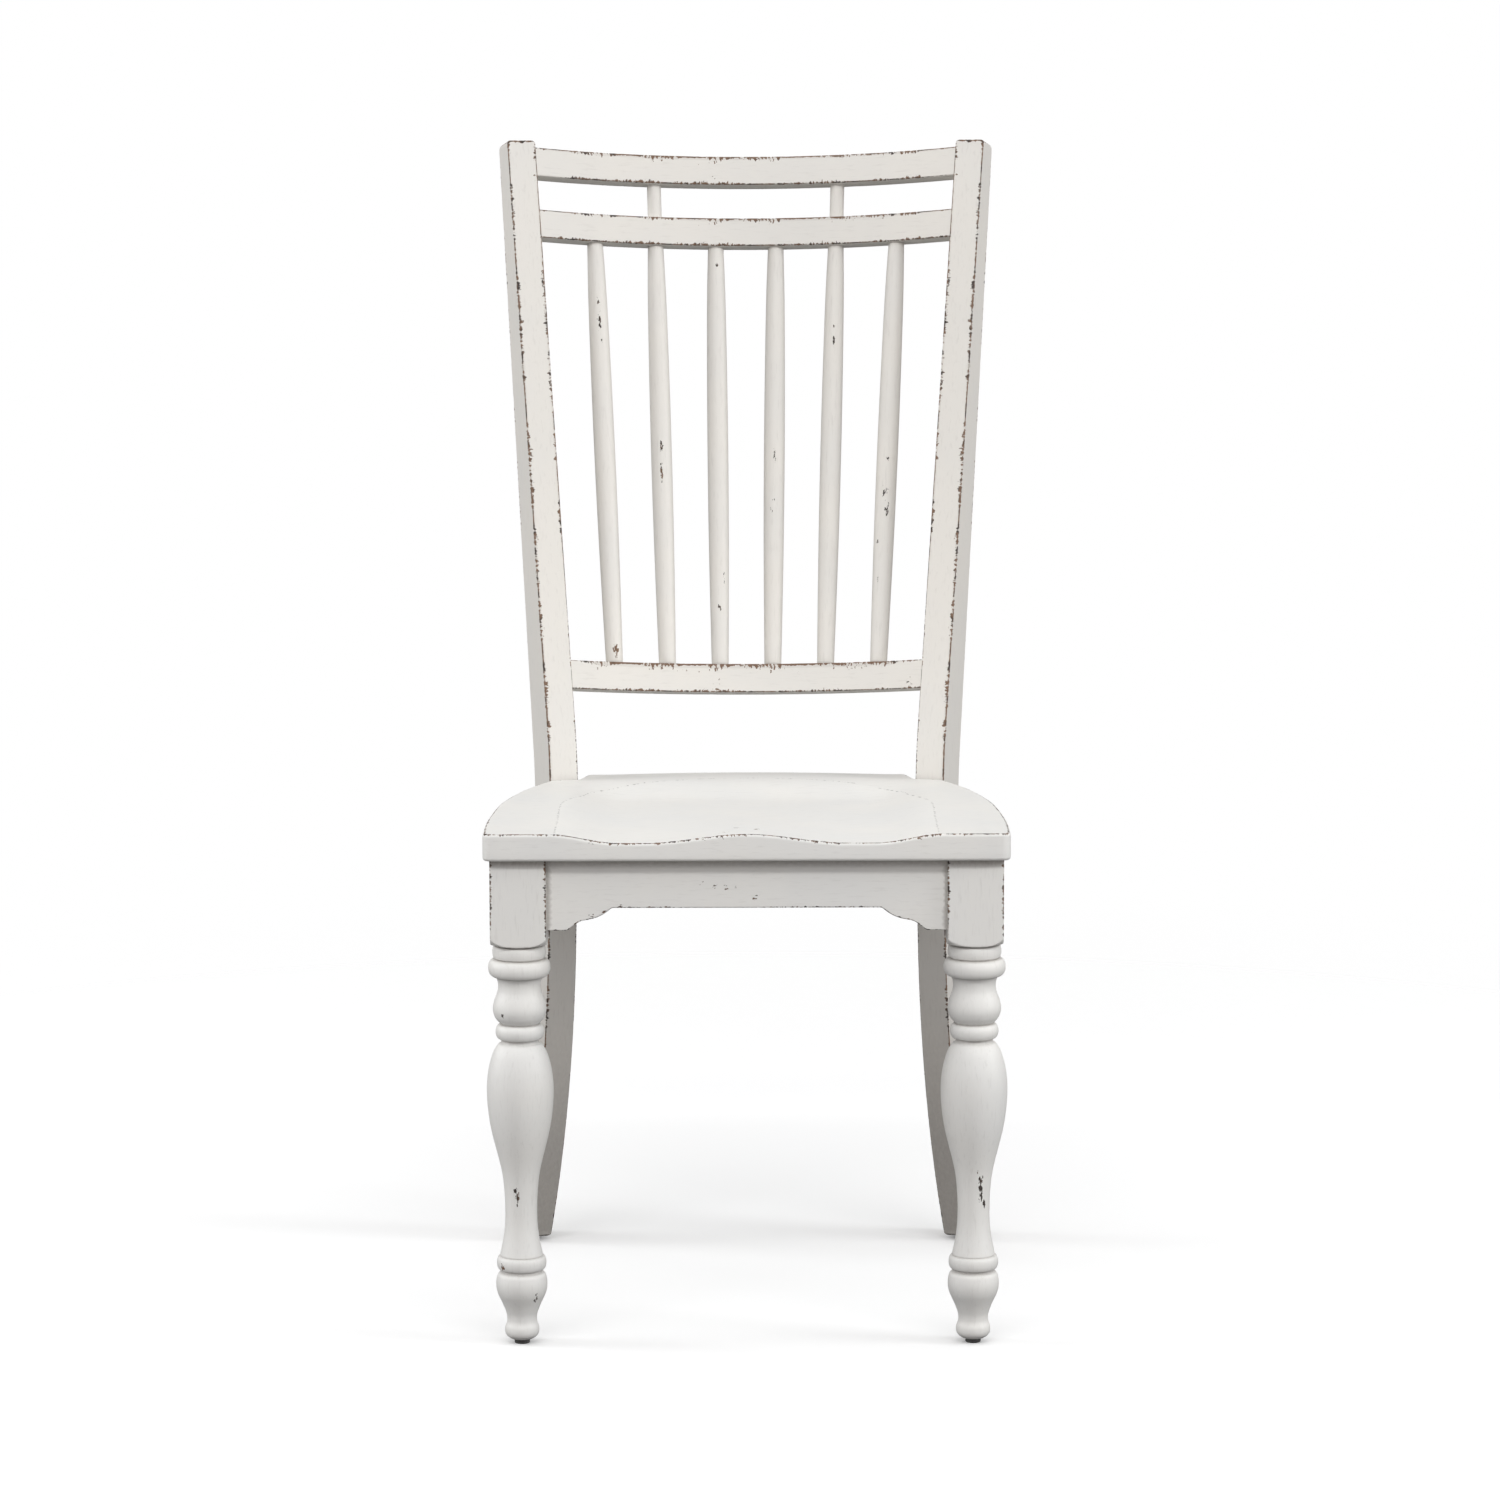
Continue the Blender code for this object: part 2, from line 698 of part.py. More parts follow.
def post_notch(shop, side, label):
    """What the seat leaves free round a post: its front face, and all that lies behind and outside it."""
    outside = POST_THICKNESS + OVERRUN
    thickness = outside + GAP
    heights = span(2 * OVERRUN, -3 * OVERRUN, 12)
    front = [(post_front(up) - GAP, up) for up in heights]
    behind = POST_DEPTH + 2 * OVERRUN
    outline = front + [(behind, heights[-1]), (behind, heights[0])]
    frame = board_frame(side, POST_THICKNESS + GAP - thickness / 2)
    return shop.plate(f"notch_{label}", outline, thickness, frame)


def seat_back_at(x):
    return SEAT_DEPTH - SEAT_BACK_RADIUS + math.sqrt(SEAT_BACK_RADIUS**2 - x**2)


def seat_outline():
    """The seat in plan: nearly straight sides that draw in to the posts, and a bowed back edge."""
    edge = (SEAT_HALF_WIDTH, 0.0)
    side = [(x * SEAT_HALF_WIDTH, y * SEAT_DEPTH) for x, y in SEAT_SIDE_SHARES]
    inner = post_point(1, POST_THICKNESS, 0.0, 0.0)
    ear = inner.x - SEAT_CORNER
    half = [edge, *side, (POST_EDGE_X, POST_EDGE_Y), (inner.x, inner.y), (ear, seat_back_at(ear))]
    back = [(x, seat_back_at(x)) for x in span(ear, -ear, 12)[1:-1]]
    left = [(-x, y) for x, y in reversed(half)]
    points = half + back + left
    corners = {0, len(half) - 1, len(half) + len(back), len(points) - 1}
    return rounded(points, SEAT_CORNER, corners)


def ease_in(share):
    share = min(max(share, 0.0), 1.0)
    return share * share * (3 - 2 * share)


def scoop_at(x, y):
    """How deep the seat is hollowed here: two thigh grooves at the front that run into one bowl."""
    side = ease_in((SCOOP_HALF_WIDTH - abs(x)) / SCOOP_WALL)
    back = ease_in((SCOOP_BACK - y) / SCOOP_BACK_WALL)
    ridge = ease_in(1 - abs(x) / POMMEL_HALF_WIDTH) * ease_in(1 - y / POMMEL_LENGTH)
    deepening = SCOOP_FRONT_SHARE + (1 - SCOOP_FRONT_SHARE) * ease_in(y / POMMEL_LENGTH)
    return SCOOP_DEPTH * side * back * deepening * (1 - ridge)


def make_seat(shop, notches):
    """The seat's outline, kept below a hollowed upper surface."""
    seat_frame = upright((0.0, 0.0, SEAT_HEIGHT)) @ Matrix.Rotation(-SEAT_PITCH, 4, "X")
    seat = shop.plate(
        "seat", seat_outline(), 2 * SEAT_THICKNESS, seat_frame, shop.paint, SEAT_LOWER_EDGE
    )
    work = bmesh.new()
    bmesh.ops.create_grid(work, x_segments=SEAT_GRID_X, y_segments=SEAT_GRID_Y, size=1.0)
    half_width, half_depth = SEAT_HALF_WIDTH + EASE, SEAT_DEPTH / 2 + EASE
    for vert in work.verts:
        x, y = vert.co.x * half_width, vert.co.y * half_depth + SEAT_DEPTH / 2
        vert.co = (x, y, -scoop_at(x, y))
    under = bmesh.ops.extrude_face_region(work, geom=work.faces[:])
    for item in under["geom"]:
        if isinstance(item, bmesh.types.BMVert):
            item.co.z = -2 * SEAT_THICKNESS
    bmesh.ops.recalc_face_normals(work, faces=work.faces)
    mesh = bpy.data.meshes.new("seat_hollow")
    work.to_mesh(mesh)
    work.free()
    hollow = shop.place("seat_hollow", mesh, seat_frame)
    combine(seat, "INTERSECT", hollow)
    return cut(seat, *notches)


def below_seat(shop):
    """Trims the frame along the seat's pitched underside."""
    frame = upright((0.0, 0.0, SEAT_HEIGHT)) @ Matrix.Rotation(-SEAT_PITCH, 4, "X")
    low = (-REACH, -REACH, -SEAT_THICKNESS - GAP)
    high = (REACH, REACH + SEAT_DEPTH, REACH)
    return shop.box("below_seat", low, high, frame)


def apron_board(shop, name, outline, matrix, tenon_ends):
    """A board with thinner tenons that run past its ends, and the cutter for their mortises."""
    board = shop.plate(name, outline, APRON_THICKNESS, matrix, shop.paint)
    start, end = tenon_ends
    tenon = shop.box(
        name + "_tenon",
        (start, APRON_TENON_BOTTOM, -APRON_TENON_THICKNESS / 2),
        (end, APRON_TENON_TOP, APRON_TENON_THICKNESS / 2),
        matrix,
    )
    mortise = shop.box(
        name + "_mortise",
        (start - GAP, APRON_TENON_BOTTOM - GAP, -APRON_TENON_THICKNESS / 2 - GAP),
        (end + GAP, APRON_TENON_TOP + GAP, APRON_TENON_THICKNESS / 2 + GAP),
        matrix,
    )
    return board, tenon, mortise


def front_apron_outline(half):
    """Straight below, with a stepped scallop down to each leg."""
    width = SCALLOP_OUTER - SCALLOP_INNER
    scallop = [
        (SCALLOP_INNER + width * x, APRON_BOTTOM - SCALLOP_DROP * drop)
        for x, drop in smooth(SCALLOP_SHARES, 2)
    ]
    right = scallop + [(half, APRON_BOTTOM - SCALLOP_DROP), (half, SEAT_HEIGHT)]
    return right + [(-x, z) for x, z in reversed(right)]


def make_front_apron(shop, under_seat):
    half = LEG_X - LEG_BLOCK / 2 - GAP
    y = BLOCK_SETBACK + APRON_SETBACK + APRON_THICKNESS / 2
    matrix = frame_at(Vector((1.0, 0.0, 0.0)), Vector((0.0, 0.0, 1.0)), Vector((0.0, y, 0.0)))
    reach = half + APRON_TENON_LENGTH
    board, tenon, mortise = apron_board(
        shop, "apron_front", front_apron_outline(half), matrix, (-reach, reach)
    )
    cut(board, under_seat)
    join(board, tenon)
    return board, mortise


def rear_apron_y():
    back = REAR_APRON_DEPTH_SHARE * POST_DEPTH
    return post_point(1, POST_THICKNESS, back, -SEAT_THICKNESS).y


def make_rear_apron(shop, under_seat, shoulders):
    matrix = frame_at(
        Vector((1.0, 0.0, 0.0)), Vector((0.0, 0.0, 1.0)), Vector((0.0, rear_apron_y(), 0.0))
    )
    face = post_point(1, POST_THICKNESS, REAR_APRON_DEPTH_SHARE * POST_DEPTH, -SEAT_THICKNESS).x
    half = face + APRON_THICKNESS
    outline = [(-half, APRON_BOTTOM), (half, APRON_BOTTOM), (half, SEAT_HEIGHT), (-half, SEAT_HEIGHT)]
    reach = face + APRON_TENON_LENGTH
    board, tenon, mortise = apron_board(shop, "apron_rear", outline, matrix, (-reach, reach))
    cut(board, under_seat, *shoulders)
    join(board, tenon)
    return board, mortise


def side_apron_ends(side):
    """Middle of the side apron where it meets the leg block and the post, in plan."""
    start = Vector((side * LEG_X, BLOCK_REAR, 0.0))
    end = post_point(side, POST_THICKNESS / 2, 0.0, -2 * SEAT_THICKNESS)
    return start, Vector((end.x, end.y, 0.0))


def make_side_apron(shop, side, label, under_seat, leg_shoulder):
    start, end = side_apron_ends(side)
    length = (end - start).length
    matrix = frame_at((end - start).normalized(), Vector((0.0, 0.0, 1.0)), start)
    outline = [
        (-OVERRUN / 2, APRON_BOTTOM),
        (length + OVERRUN / 2, APRON_BOTTOM),
        (length + OVERRUN / 2, SEAT_HEIGHT),
        (-OVERRUN / 2, SEAT_HEIGHT),
    ]
    board, tenon, mortise = apron_board(
        shop, f"apron_{label}", outline, matrix, (-APRON_TENON_LENGTH, length + APRON_TENON_LENGTH)
    )
    frame = board_frame(side, POST_THICKNESS / 2)
    post_face = shop.box(
        f"post_face_{label}", (-GAP, -SEAT_HEIGHT, -REACH / 4), (REACH, SEAT_THICKNESS, REACH / 4), frame
    )
    cut(board, under_seat, leg_shoulder, post_face)
    join(board, tenon)
    return board, mortise


def meet(point_a, direction_a, point_b, direction_b):
    """Where two lines in plan cross."""
    across = direction_a.x * direction_b.y - direction_a.y * direction_b.x
    offset = point_b - point_a
    travel = (offset.x * direction_b.y - offset.y * direction_b.x) / across
    return point_a + direction_a * travel


def corner_of(side, cross_y, along):
    """The corner between a cross apron's inner face and a side apron's, and both directions out of it."""
    start, end = side_apron_ends(side)
    run = (end - start).normalized()
    inward = Vector((-side * run.y, side * run.x, 0.0))
    face = start + inward * (APRON_THICKNESS / 2 + GAP)
    cross = Vector((-side, 0.0, 0.0))
    corner = meet(Vector((0.0, cross_y, 0.0)), cross, face, run)
    return corner, cross, run * along, inward


def screw_profile(length, extra=0.0, lead=0.0):
    """A countersunk screw that points down from its head's face, or with extra the hole for it."""
    head, shank = SCREW_HEAD_RADIUS + extra, SCREW_RADIUS + extra
    return [
        (0.0, lead),
        (head, lead),
        (head, -SCREW_HEAD_RIM - extra),
        (shank, -SCREW_HEAD_RIM - SCREW_HEAD_TAPER - extra),
        (shank, -length + SCREW_POINT - extra),
        (0.0, -length - 2 * extra),
    ]


def make_screw(shop, name, length, head, direction):
    """A screw with its head's face at this place, and the cutter for its hole."""
    side = Vector((0.0, 0.0, 1.0)).cross(direction)
    side = side.normalized() if side.length > EASE else Vector((1.0, 0.0, 0.0))
    matrix = frame_at(side, (-direction).cross(side), head)
    shop.turned(name, screw_profile(length), SCREW_SIDES, matrix, shop.steel)
    return shop.turned(name + "_hole", screw_profile(length, GAP, 2 * OVERRUN), SCREW_SIDES, matrix)


def make_corner_block(shop, end, side, label, cross_y, along, near, far, pieces, under_seat):
    """A block glued into one corner of the apron frame, with two apron screws and one seat screw."""
    corner, cross, run, inward = corner_of(side, cross_y, along)
    points = [
        corner + cross * near[0],
        corner + cross * far[0],
        corner + run * far[1],
        corner + run * near[1],
    ]
    height = SEAT_HEIGHT - BLOCK_BOTTOM
    centre = sum(points, Vector((0.0, 0.0, 0.0))) / len(points)
    middle = Vector((centre.x, centre.y, BLOCK_BOTTOM + height / 2))
    outline = [(point.x - centre.x, point.y - centre.y) for point in points]
    name = f"corner_block_{end}_{label}"
    block = shop.plate(name, outline, height, upright(middle), shop.wood)
    into_cross = Vector((0.0, -along, 0.0))
    drives = (
        (cross, near[0], far[0], into_cross, pieces["cross"]),
        (run, near[1], far[1], -inward, pieces["side"]),
    )
    for number, (direction, close, distant, drive, apron) in enumerate(drives, 1):
        place = corner + direction * (close + distant) / 2 - drive * APRON_SCREW_STANDOFF
        head = Vector((place.x, place.y, APRON_SCREW_HEIGHT))
        hole = make_screw(shop, f"apron_screw_{end}_{label}_{number}", APRON_SCREW_LENGTH, head, drive)
        cut(block, hole)
        cut(apron, hole)
    head = Vector((centre.x, centre.y, BLOCK_BOTTOM + SEAT_SCREW_RECESS))
    up = Vector((0.0, 0.0, 1.0))
    hole = make_screw(shop, f"seat_screw_{end}_{label}", SEAT_SCREW_LENGTH, head, up)
    cut(block, hole, under_seat)
    cut(pieces["seat"], hole)


def glide_profile():
    stem_top = GLIDE_THICKNESS + GLIDE_STEM
    return [
        (0.0, stem_top),
        (GLIDE_STEM_RADIUS, stem_top - GLIDE_STEM_RADIUS),
        (GLIDE_STEM_RADIUS, GLIDE_THICKNESS),
        (GLIDE_RADIUS, GLIDE_THICKNESS),
        (GLIDE_RADIUS, GLIDE_EDGE),
        (GLIDE_RADIUS - GLIDE_EDGE, 0.0),
        (0.0, 0.0),
    ]


def make_glides(shop, side, label, post):
    """A disc with a stem under each foot, and the hole for the rear one. The front leg has its own."""
    front = upright((side * LEG_X, LEG_Y, 0.0))
    shop.turned(f"glide_front_{label}", glide_profile(), GLIDE_SIDES, front, shop.plastic)
    bottom = post_bottom()
    middle = (post_front(bottom) + post_back(bottom)) / 2
    foot = post_point(side, POST_THICKNESS / 2, middle, bottom)
    rear = upright((foot.x, foot.y, 0.0))
    shop.turned(f"glide_rear_{label}", glide_profile(), GLIDE_SIDES, rear, shop.plastic)
    top = GLIDE_THICKNESS + GLIDE_STEM + GAP
    cut(post, shop.rod(f"glide_hole_{label}", GLIDE_STEM_RADIUS + GAP, 0.0, top, GLIDE_SIDES, rear))


def make_back(shop, posts, shoulders):
    """Three rails between the posts, and six spindles between the rails."""
    lower = Rail(LOWER_RISE, LOWER_HEIGHT, LOWER_SAG)
    neck = Rail(NECK_RISE, NECK_HEIGHT, NECK_SAG)
    crest = Rail(CREST_RISE, CREST_HEIGHT, CREST_SAG)
    bars = []
    for name, rail in (("lower_back_rail", lower), ("neck_rail", neck), ("crest_rail", crest)):
        bar, mortise = make_rail(shop, name, rail, shoulders)
        bars.append(bar)
        for post in posts.values():
            cut(post, mortise)
    for index in range(1, SPINDLE_COUNT + 1):
        for bar, hole in zip(bars, make_spindle(shop, index, lower, neck, crest)):
            if hole is not None:
                cut(bar, hole)


def make_frame(shop, posts, legs, seat, shoulders, under_seat):
    """Four aprons tenoned into the legs and posts, with a screwed block in each corner."""
    leg_shoulder = shop.box(
        "leg_shoulder", (-REACH, -REACH, 0.0), (REACH, BLOCK_REAR + GAP, REACH), upright((0.0, 0.0, 0.0))
    )
    front, front_mortise = make_front_apron(shop, under_seat)
    rear, rear_mortise = make_rear_apron(shop, under_seat, shoulders)
    front_face = BLOCK_SETBACK + APRON_SETBACK + APRON_THICKNESS + GAP
    rear_face = rear_apron_y() - APRON_THICKNESS / 2 - GAP
    for side, label in SIDES:
        board, mortise = make_side_apron(shop, side, label, under_seat, leg_shoulder)
        cut(legs[label], front_mortise, mortise)
        cut(posts[label], rear_mortise, mortise)
        pieces = {"cross": front, "side": board, "seat": seat}
        make_corner_block(
            shop, "front", side, label, front_face, 1, FRONT_BLOCK_NEAR, FRONT_BLOCK_FAR, pieces, under_seat
        )
        pieces = {"cross": rear, "side": board, "seat": seat}
        make_corner_block(
            shop, "rear", side, label, rear_face, -1, REAR_BLOCK_NEAR, REAR_BLOCK_FAR, pieces, under_seat
        )


def shade(shop):
    """Round faces shade smooth, and edges sharper than this angle stay crisp."""
    for obj in shop.parts.objects:
        if obj.type == "MESH" and len(obj.data.polygons):
            obj.data.shade_smooth()
            obj.data.set_sharp_from_angle(angle=math.radians(30))


def main():
    shop = Shop()
    under_seat = below_seat(shop)
    shoulders = [post_shoulder(shop, side, label) for side, label in SIDES]
    posts = {label: make_post(shop, side, label) for side, label in SIDES}
    legs = {label: make_front_leg(shop, side, label, under_seat) for side, label in SIDES}
    seat = make_seat(shop, [post_notch(shop, side, label) for side, label in SIDES])
    make_back(shop, posts, shoulders)
    make_frame(shop, posts, legs, seat, shoulders, under_seat)
    for side, label in SIDES:
        make_glides(shop, side, label, posts[label])
    shade(shop)
    shop.root.location = (0.0, -chair_depth() / 2, 0.0)


main()
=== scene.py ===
"""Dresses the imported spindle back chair: finer seat, posts, rails, spindles, legs and aprons in worn white
paint, grey glides, bare corner blocks and steel screws, on a pale floor under soft studio light."""

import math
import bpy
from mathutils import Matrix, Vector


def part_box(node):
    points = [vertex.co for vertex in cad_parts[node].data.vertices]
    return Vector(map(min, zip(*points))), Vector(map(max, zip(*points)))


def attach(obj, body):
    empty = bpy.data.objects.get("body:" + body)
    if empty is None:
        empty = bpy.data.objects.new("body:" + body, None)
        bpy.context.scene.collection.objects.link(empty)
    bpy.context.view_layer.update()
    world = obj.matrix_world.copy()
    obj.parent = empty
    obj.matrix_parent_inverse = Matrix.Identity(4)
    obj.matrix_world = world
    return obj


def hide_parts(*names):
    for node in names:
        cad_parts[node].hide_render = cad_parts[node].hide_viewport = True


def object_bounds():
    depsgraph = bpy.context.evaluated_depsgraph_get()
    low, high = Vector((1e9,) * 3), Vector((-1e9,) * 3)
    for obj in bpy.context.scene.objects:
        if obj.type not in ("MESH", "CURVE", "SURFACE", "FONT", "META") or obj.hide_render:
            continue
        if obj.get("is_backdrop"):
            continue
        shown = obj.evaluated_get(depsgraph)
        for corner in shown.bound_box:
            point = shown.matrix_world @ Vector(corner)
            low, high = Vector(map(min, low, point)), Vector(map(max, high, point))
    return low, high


bl_info = {
    "name": "Spindle Back Chair",
    "version": (1, 0, 0),
    "blender": (4, 5, 0),
    "location": "3D View > Sidebar > Chair",
    "description": "Dresses a spindle back dining chair in worn paint and sets it in a plain studio",
    "category": "Object",
}

import bpy
from bpy.props import FloatProperty, FloatVectorProperty, PointerProperty
from bpy.types import Operator, Panel, PropertyGroup
from mathutils import Matrix, Vector, noise
from mathutils.geometry import delaunay_2d_cdt
from mathutils.kdtree import KDTree

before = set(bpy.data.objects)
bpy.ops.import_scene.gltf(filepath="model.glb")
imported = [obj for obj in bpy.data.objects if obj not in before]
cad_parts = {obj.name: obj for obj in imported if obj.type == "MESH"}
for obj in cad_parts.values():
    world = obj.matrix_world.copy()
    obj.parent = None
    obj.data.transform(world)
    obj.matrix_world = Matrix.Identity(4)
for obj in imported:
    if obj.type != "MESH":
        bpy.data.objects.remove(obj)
cad_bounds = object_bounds()

MM = 0.001
SIDES = ((-1, "left"), (1, "right"))
FAR = 40.0
SHARP_ANGLE = math.radians(50)
# How far a dented edge reaches, in millimetres
DENT_REACH = 2.5

# The seat's sides in plan, as shares of its half width and depth
SEAT_SIDE_SHARES = ((1.0, 0.02), (1.0, 0.2), (0.979, 0.41), (0.953, 0.53), (0.9, 0.67), (0.85, 0.76))
# The faint line round the hollow, as shares of the seat's half width and depth
HOLLOW_LINE_SHARES = (
    (0.728, -0.05), (0.728, 0.25), (0.728, 0.47), (0.69, 0.575), (0.65, 0.644), (0.612, 0.715),
    (0.452, 0.805), (0.182, 0.862), (0.0, 0.874),
)
SPINDLE_SHARES = (
    (0.0, 0.81), (0.15, 0.9), (0.3, 0.97), (0.45, 1.0), (0.6, 0.995), (0.76, 0.95), (0.89, 0.88),
    (1.0, 0.75),
)
# Each bead of the leg: its upper and lower height, its radius, and the radius of the groove under it
BEAD_SHARES = ((1.003, 0.9705, 0.8, 0.72), (0.9695, 0.925, 0.93, 0.73))
URN_SHARES = (
    (0.9245, 0.71), (0.915, 0.66), (0.903, 0.637), (0.89, 0.65), (0.879, 0.69), (0.867, 0.745),
    (0.854, 0.788), (0.843, 0.8), (0.833, 0.782), (0.8215, 0.728), (0.8125, 0.64),
)
COLLAR_SHARES = (0.806, 0.768, 0.725, 0.56)
BALUSTER_SHARES = (
    (0.758, 0.6), (0.754, 0.665), (0.737, 0.79), (0.715, 0.88), (0.69, 0.95), (0.665, 0.987), (0.641, 1.0),
    (0.607, 0.985), (0.572, 0.94), (0.537, 0.866), (0.502, 0.765), (0.467, 0.656), (0.433, 0.565),
    (0.398, 0.512), (0.363, 0.485), (0.32, 0.48), (0.29, 0.503), (0.267, 0.54), (0.2435, 0.595),
    (0.224, 0.645),
)
ANKLE_SHARES = (0.223, 0.1875, 0.745, 0.63)
FOOT_SHARES = (
    (0.18, 0.66), (0.1745, 0.722), (0.1625, 0.758), (0.1505, 0.77), (0.138, 0.756), (0.1245, 0.71),
    (0.111, 0.634), (0.0975, 0.56), (0.084, 0.497), (0.072, 0.456), (0.06, 0.447), (0.052, 0.465),
    (0.043, 0.506), (0.034, 0.518), (0.026, 0.502), (0.019, 0.45), (0.0125, 0.34),
)
# The height of the fillet under the collar and under the ankle's bead
COLLAR_GROOVE_SHARE = 0.761
ANKLE_GROOVE_SHARE = 0.181
# The grooves round the leg: height share, and how much darker they are painted there: dirt, and painted shade
# in the crease
GROOVES = (
    (1.004, 0.8), (0.97, 0.65), (0.9245, 0.55), (0.8075, 0.75), (0.768, 0.5), (0.76, 0.4), (0.223, 0.35),
    (0.1875, 0.6), (0.1815, 0.4),
)
SCALLOP_SHARES = (
    (0.0, 0.0), (0.05, 0.03), (0.12, 0.145), (0.22, 0.29), (0.35, 0.42), (0.5, 0.51), (0.62, 0.552),
    (0.7, 0.6), (0.78, 0.69), (0.88, 0.84), (0.95, 0.96), (1.0, 1.0),
)

# Chips in the spindles' paint: height share, degrees from the front, length and width of the patch in
# millimetres, strength
SPINDLE_CHIPS = {
    1: ((0.86, 3, 5, 1.4, 1.1), (0.81, 6, 8, 1.7, 1.35), (0.765, 10, 3, 1.4, 0.95), (0.03, 18, 6, 3.5, 1.3)),
    2: ((0.52, 2, 6, 1.5, 1.15), (0.455, 0, 9, 1.7, 1.25)),
    3: ((0.955, 2, 4, 1.8, 1.2), (0.2, 30, 7, 1.4, 1.05), (0.134, 0, 2.5, 1.8, 1.15)),
    4: ((0.5, 0, 7, 1.5, 1.05), (0.39, 0, 3, 1.5, 1.05), (0.365, -12, 3, 1.5, 0.95)),
    5: ((0.805, 0, 3, 1.5, 1.1), (0.765, 0, 5, 1.5, 1.2)),
    6: (
        (0.48, 0, 3, 1.5, 0.95), (0.4, -5, 8, 2.5, 1.0), (0.355, 10, 8, 2.2, 1.0),
        (0.285, -38, 3, 1.5, 1.05), (0.195, -30, 3, 1.5, 1.05),
    ),
}
# Chips in the front legs, as in the spindles, but with the height in metres
LEG_CHIPS = {
    "left": (
        (0.1445, -18, 2.5, 2.0, 1.4), (0.139, -10, 4.0, 1.9, 1.4), (0.131, -14, 2.5, 1.5, 1.0),
        (0.0735, -48, 3.0, 3.0, 1.2), (0.045, 40, 4.0, 3.0, 1.15), (0.307, -38, 2.0, 2.5, 0.85),
    ),
    "right": (
        (0.161, 8, 2.0, 1.6, 1.2), (0.153, 20, 4.0, 2.2, 1.7), (0.146, 22, 4.0, 2.2, 1.8),
        (0.138, 26, 5.0, 2.0, 1.6), (0.131, 38, 4.0, 2.0, 1.6),
    ),
}
# Chips in the seat's top: across, back, patch in millimetres and strength
SEAT_CHIPS = (
    (-0.0205, 0.022, 3.5, 1.3), (-0.0075, 0.052, 3.5, 1.2), (0.0095, 0.038, 3.0, 1.15),
    (0.027, 0.0, 2.5, 1.0), (-0.136, 0.0, 3.5, 1.1), (-0.079, 0.0, 3.5, 1.1), (-0.041, 0.0, 3.0, 0.95),
    (-0.0225, 0.0, 3.5, 1.0), (0.154, 0.0, 3.5, 1.05),
)
# Chips in the front apron: across, height, patch in millimetres and strength
APRON_CHIPS = (
    (-0.0405, 0.4275, 2.0, 0.85), (-0.028, 0.425, 2.5, 0.95), (-0.0185, 0.4245, 2.5, 0.85),
    (-0.0105, 0.4235, 2.0, 0.75), (0.008, 0.415, 2.8, 1.15), (-0.1395, 0.398, 3.0, 1.05),
    (-0.1285, 0.4015, 2.5, 0.95), (-0.113, 0.407, 3.0, 0.95),
)
# Wear up the posts' outer and inner front edges: height share, strength
ARRIS_WEAR = (
    (0.0, 0.6), (0.3, 0.9), (0.43, 1.2), (0.5, 1.3), (0.6, 1.1), (0.88, 1.0), (0.93, 0.75), (1.0, 1.0),
)
INNER_WEAR = (
    (0.0, 0.4), (0.4, 0.45), (0.47, 0.45), (0.6, 0.7), (0.66, 1.3), (0.7, 1.3), (0.93, 1.2), (1.0, 0.9),
)


def shared(shares, place):
    """The value at this place in a table of (place, value) pairs."""
    for (start, low), (end, high) in zip(shares, shares[1:]):
        if place <= end:
            return low + (high - low) * max(place - start, 0.0) / (end - start)
    return shares[-1][1]


def span(start, end, steps):
    return [start + (end - start) * i / steps for i in range(steps + 1)]


def ease(share):
    share = min(max(share, 0.0), 1.0)
    return share * share * (3 - 2 * share)


def smooth(points, steps):
    """Points along a smooth curve through the given ones."""
    padded = [points[0], *points, points[-1]]
    curve = []
    for a, b, c, d in zip(padded, padded[1:], padded[2:], padded[3:]):
        for step in range(steps):
            t = step / steps
            point = []
            for p, q, r, s in zip(a, b, c, d):
                square, cube = 2 * p - 5 * q + 4 * r - s, 3 * q - p - 3 * r + s
                point.append(0.5 * (2 * q + (r - p) * t + square * t**2 + cube * t**3))
            curve.append(tuple(point))
    curve.append(tuple(points[-1]))
    return curve


def bell(away, reach):
    """1 in the middle, and falling off on both sides."""
    return math.exp(-((away / reach) ** 2))


def quarter_round(radius, steps, middle=45):
    """An edge between two faces. Each step has how far it lies in from the first face and from the second,
    and how far from the edge's most worn place, in millimetres. middle is where that is, in degrees."""
    return [
        (radius * (1 - math.cos(t)), radius * (1 - math.sin(t)), radius * abs(t - math.radians(middle)) / MM)
        for t in span(0.0, math.pi / 2, steps)
    ]


def half_round(radius):
    """From the middle of a rounded edge to its end, in millimetres."""
    return radius * math.pi / 4 / MM


def tree_of(points):
    """Finds the nearest of these points."""
    tree = KDTree(len(points))
    for i, point in enumerate(points):
        tree.insert(point, i)
    tree.balance()
    return tree


def standing(across, back, up, origin):
    """The place of a piece whose own axes point these ways."""
    return Matrix.Translation(origin) @ Matrix((across, back, up)).transposed().to_4x4()


def linked(name, data):
    obj = bpy.data.objects.new(name, data)
    bpy.context.scene.collection.objects.link(obj)
    return obj


def length_property(name, description, default):
    return FloatProperty(name=name, description=description, default=default, unit="LENGTH")


def colour_property(name, description, default):
    return FloatVectorProperty(name=name, description=description, default=default, subtype="COLOR", size=3)


def amount_property(name, description, default, **limits):
    return FloatProperty(name=name, description=description, default=default, min=0.0, **limits)


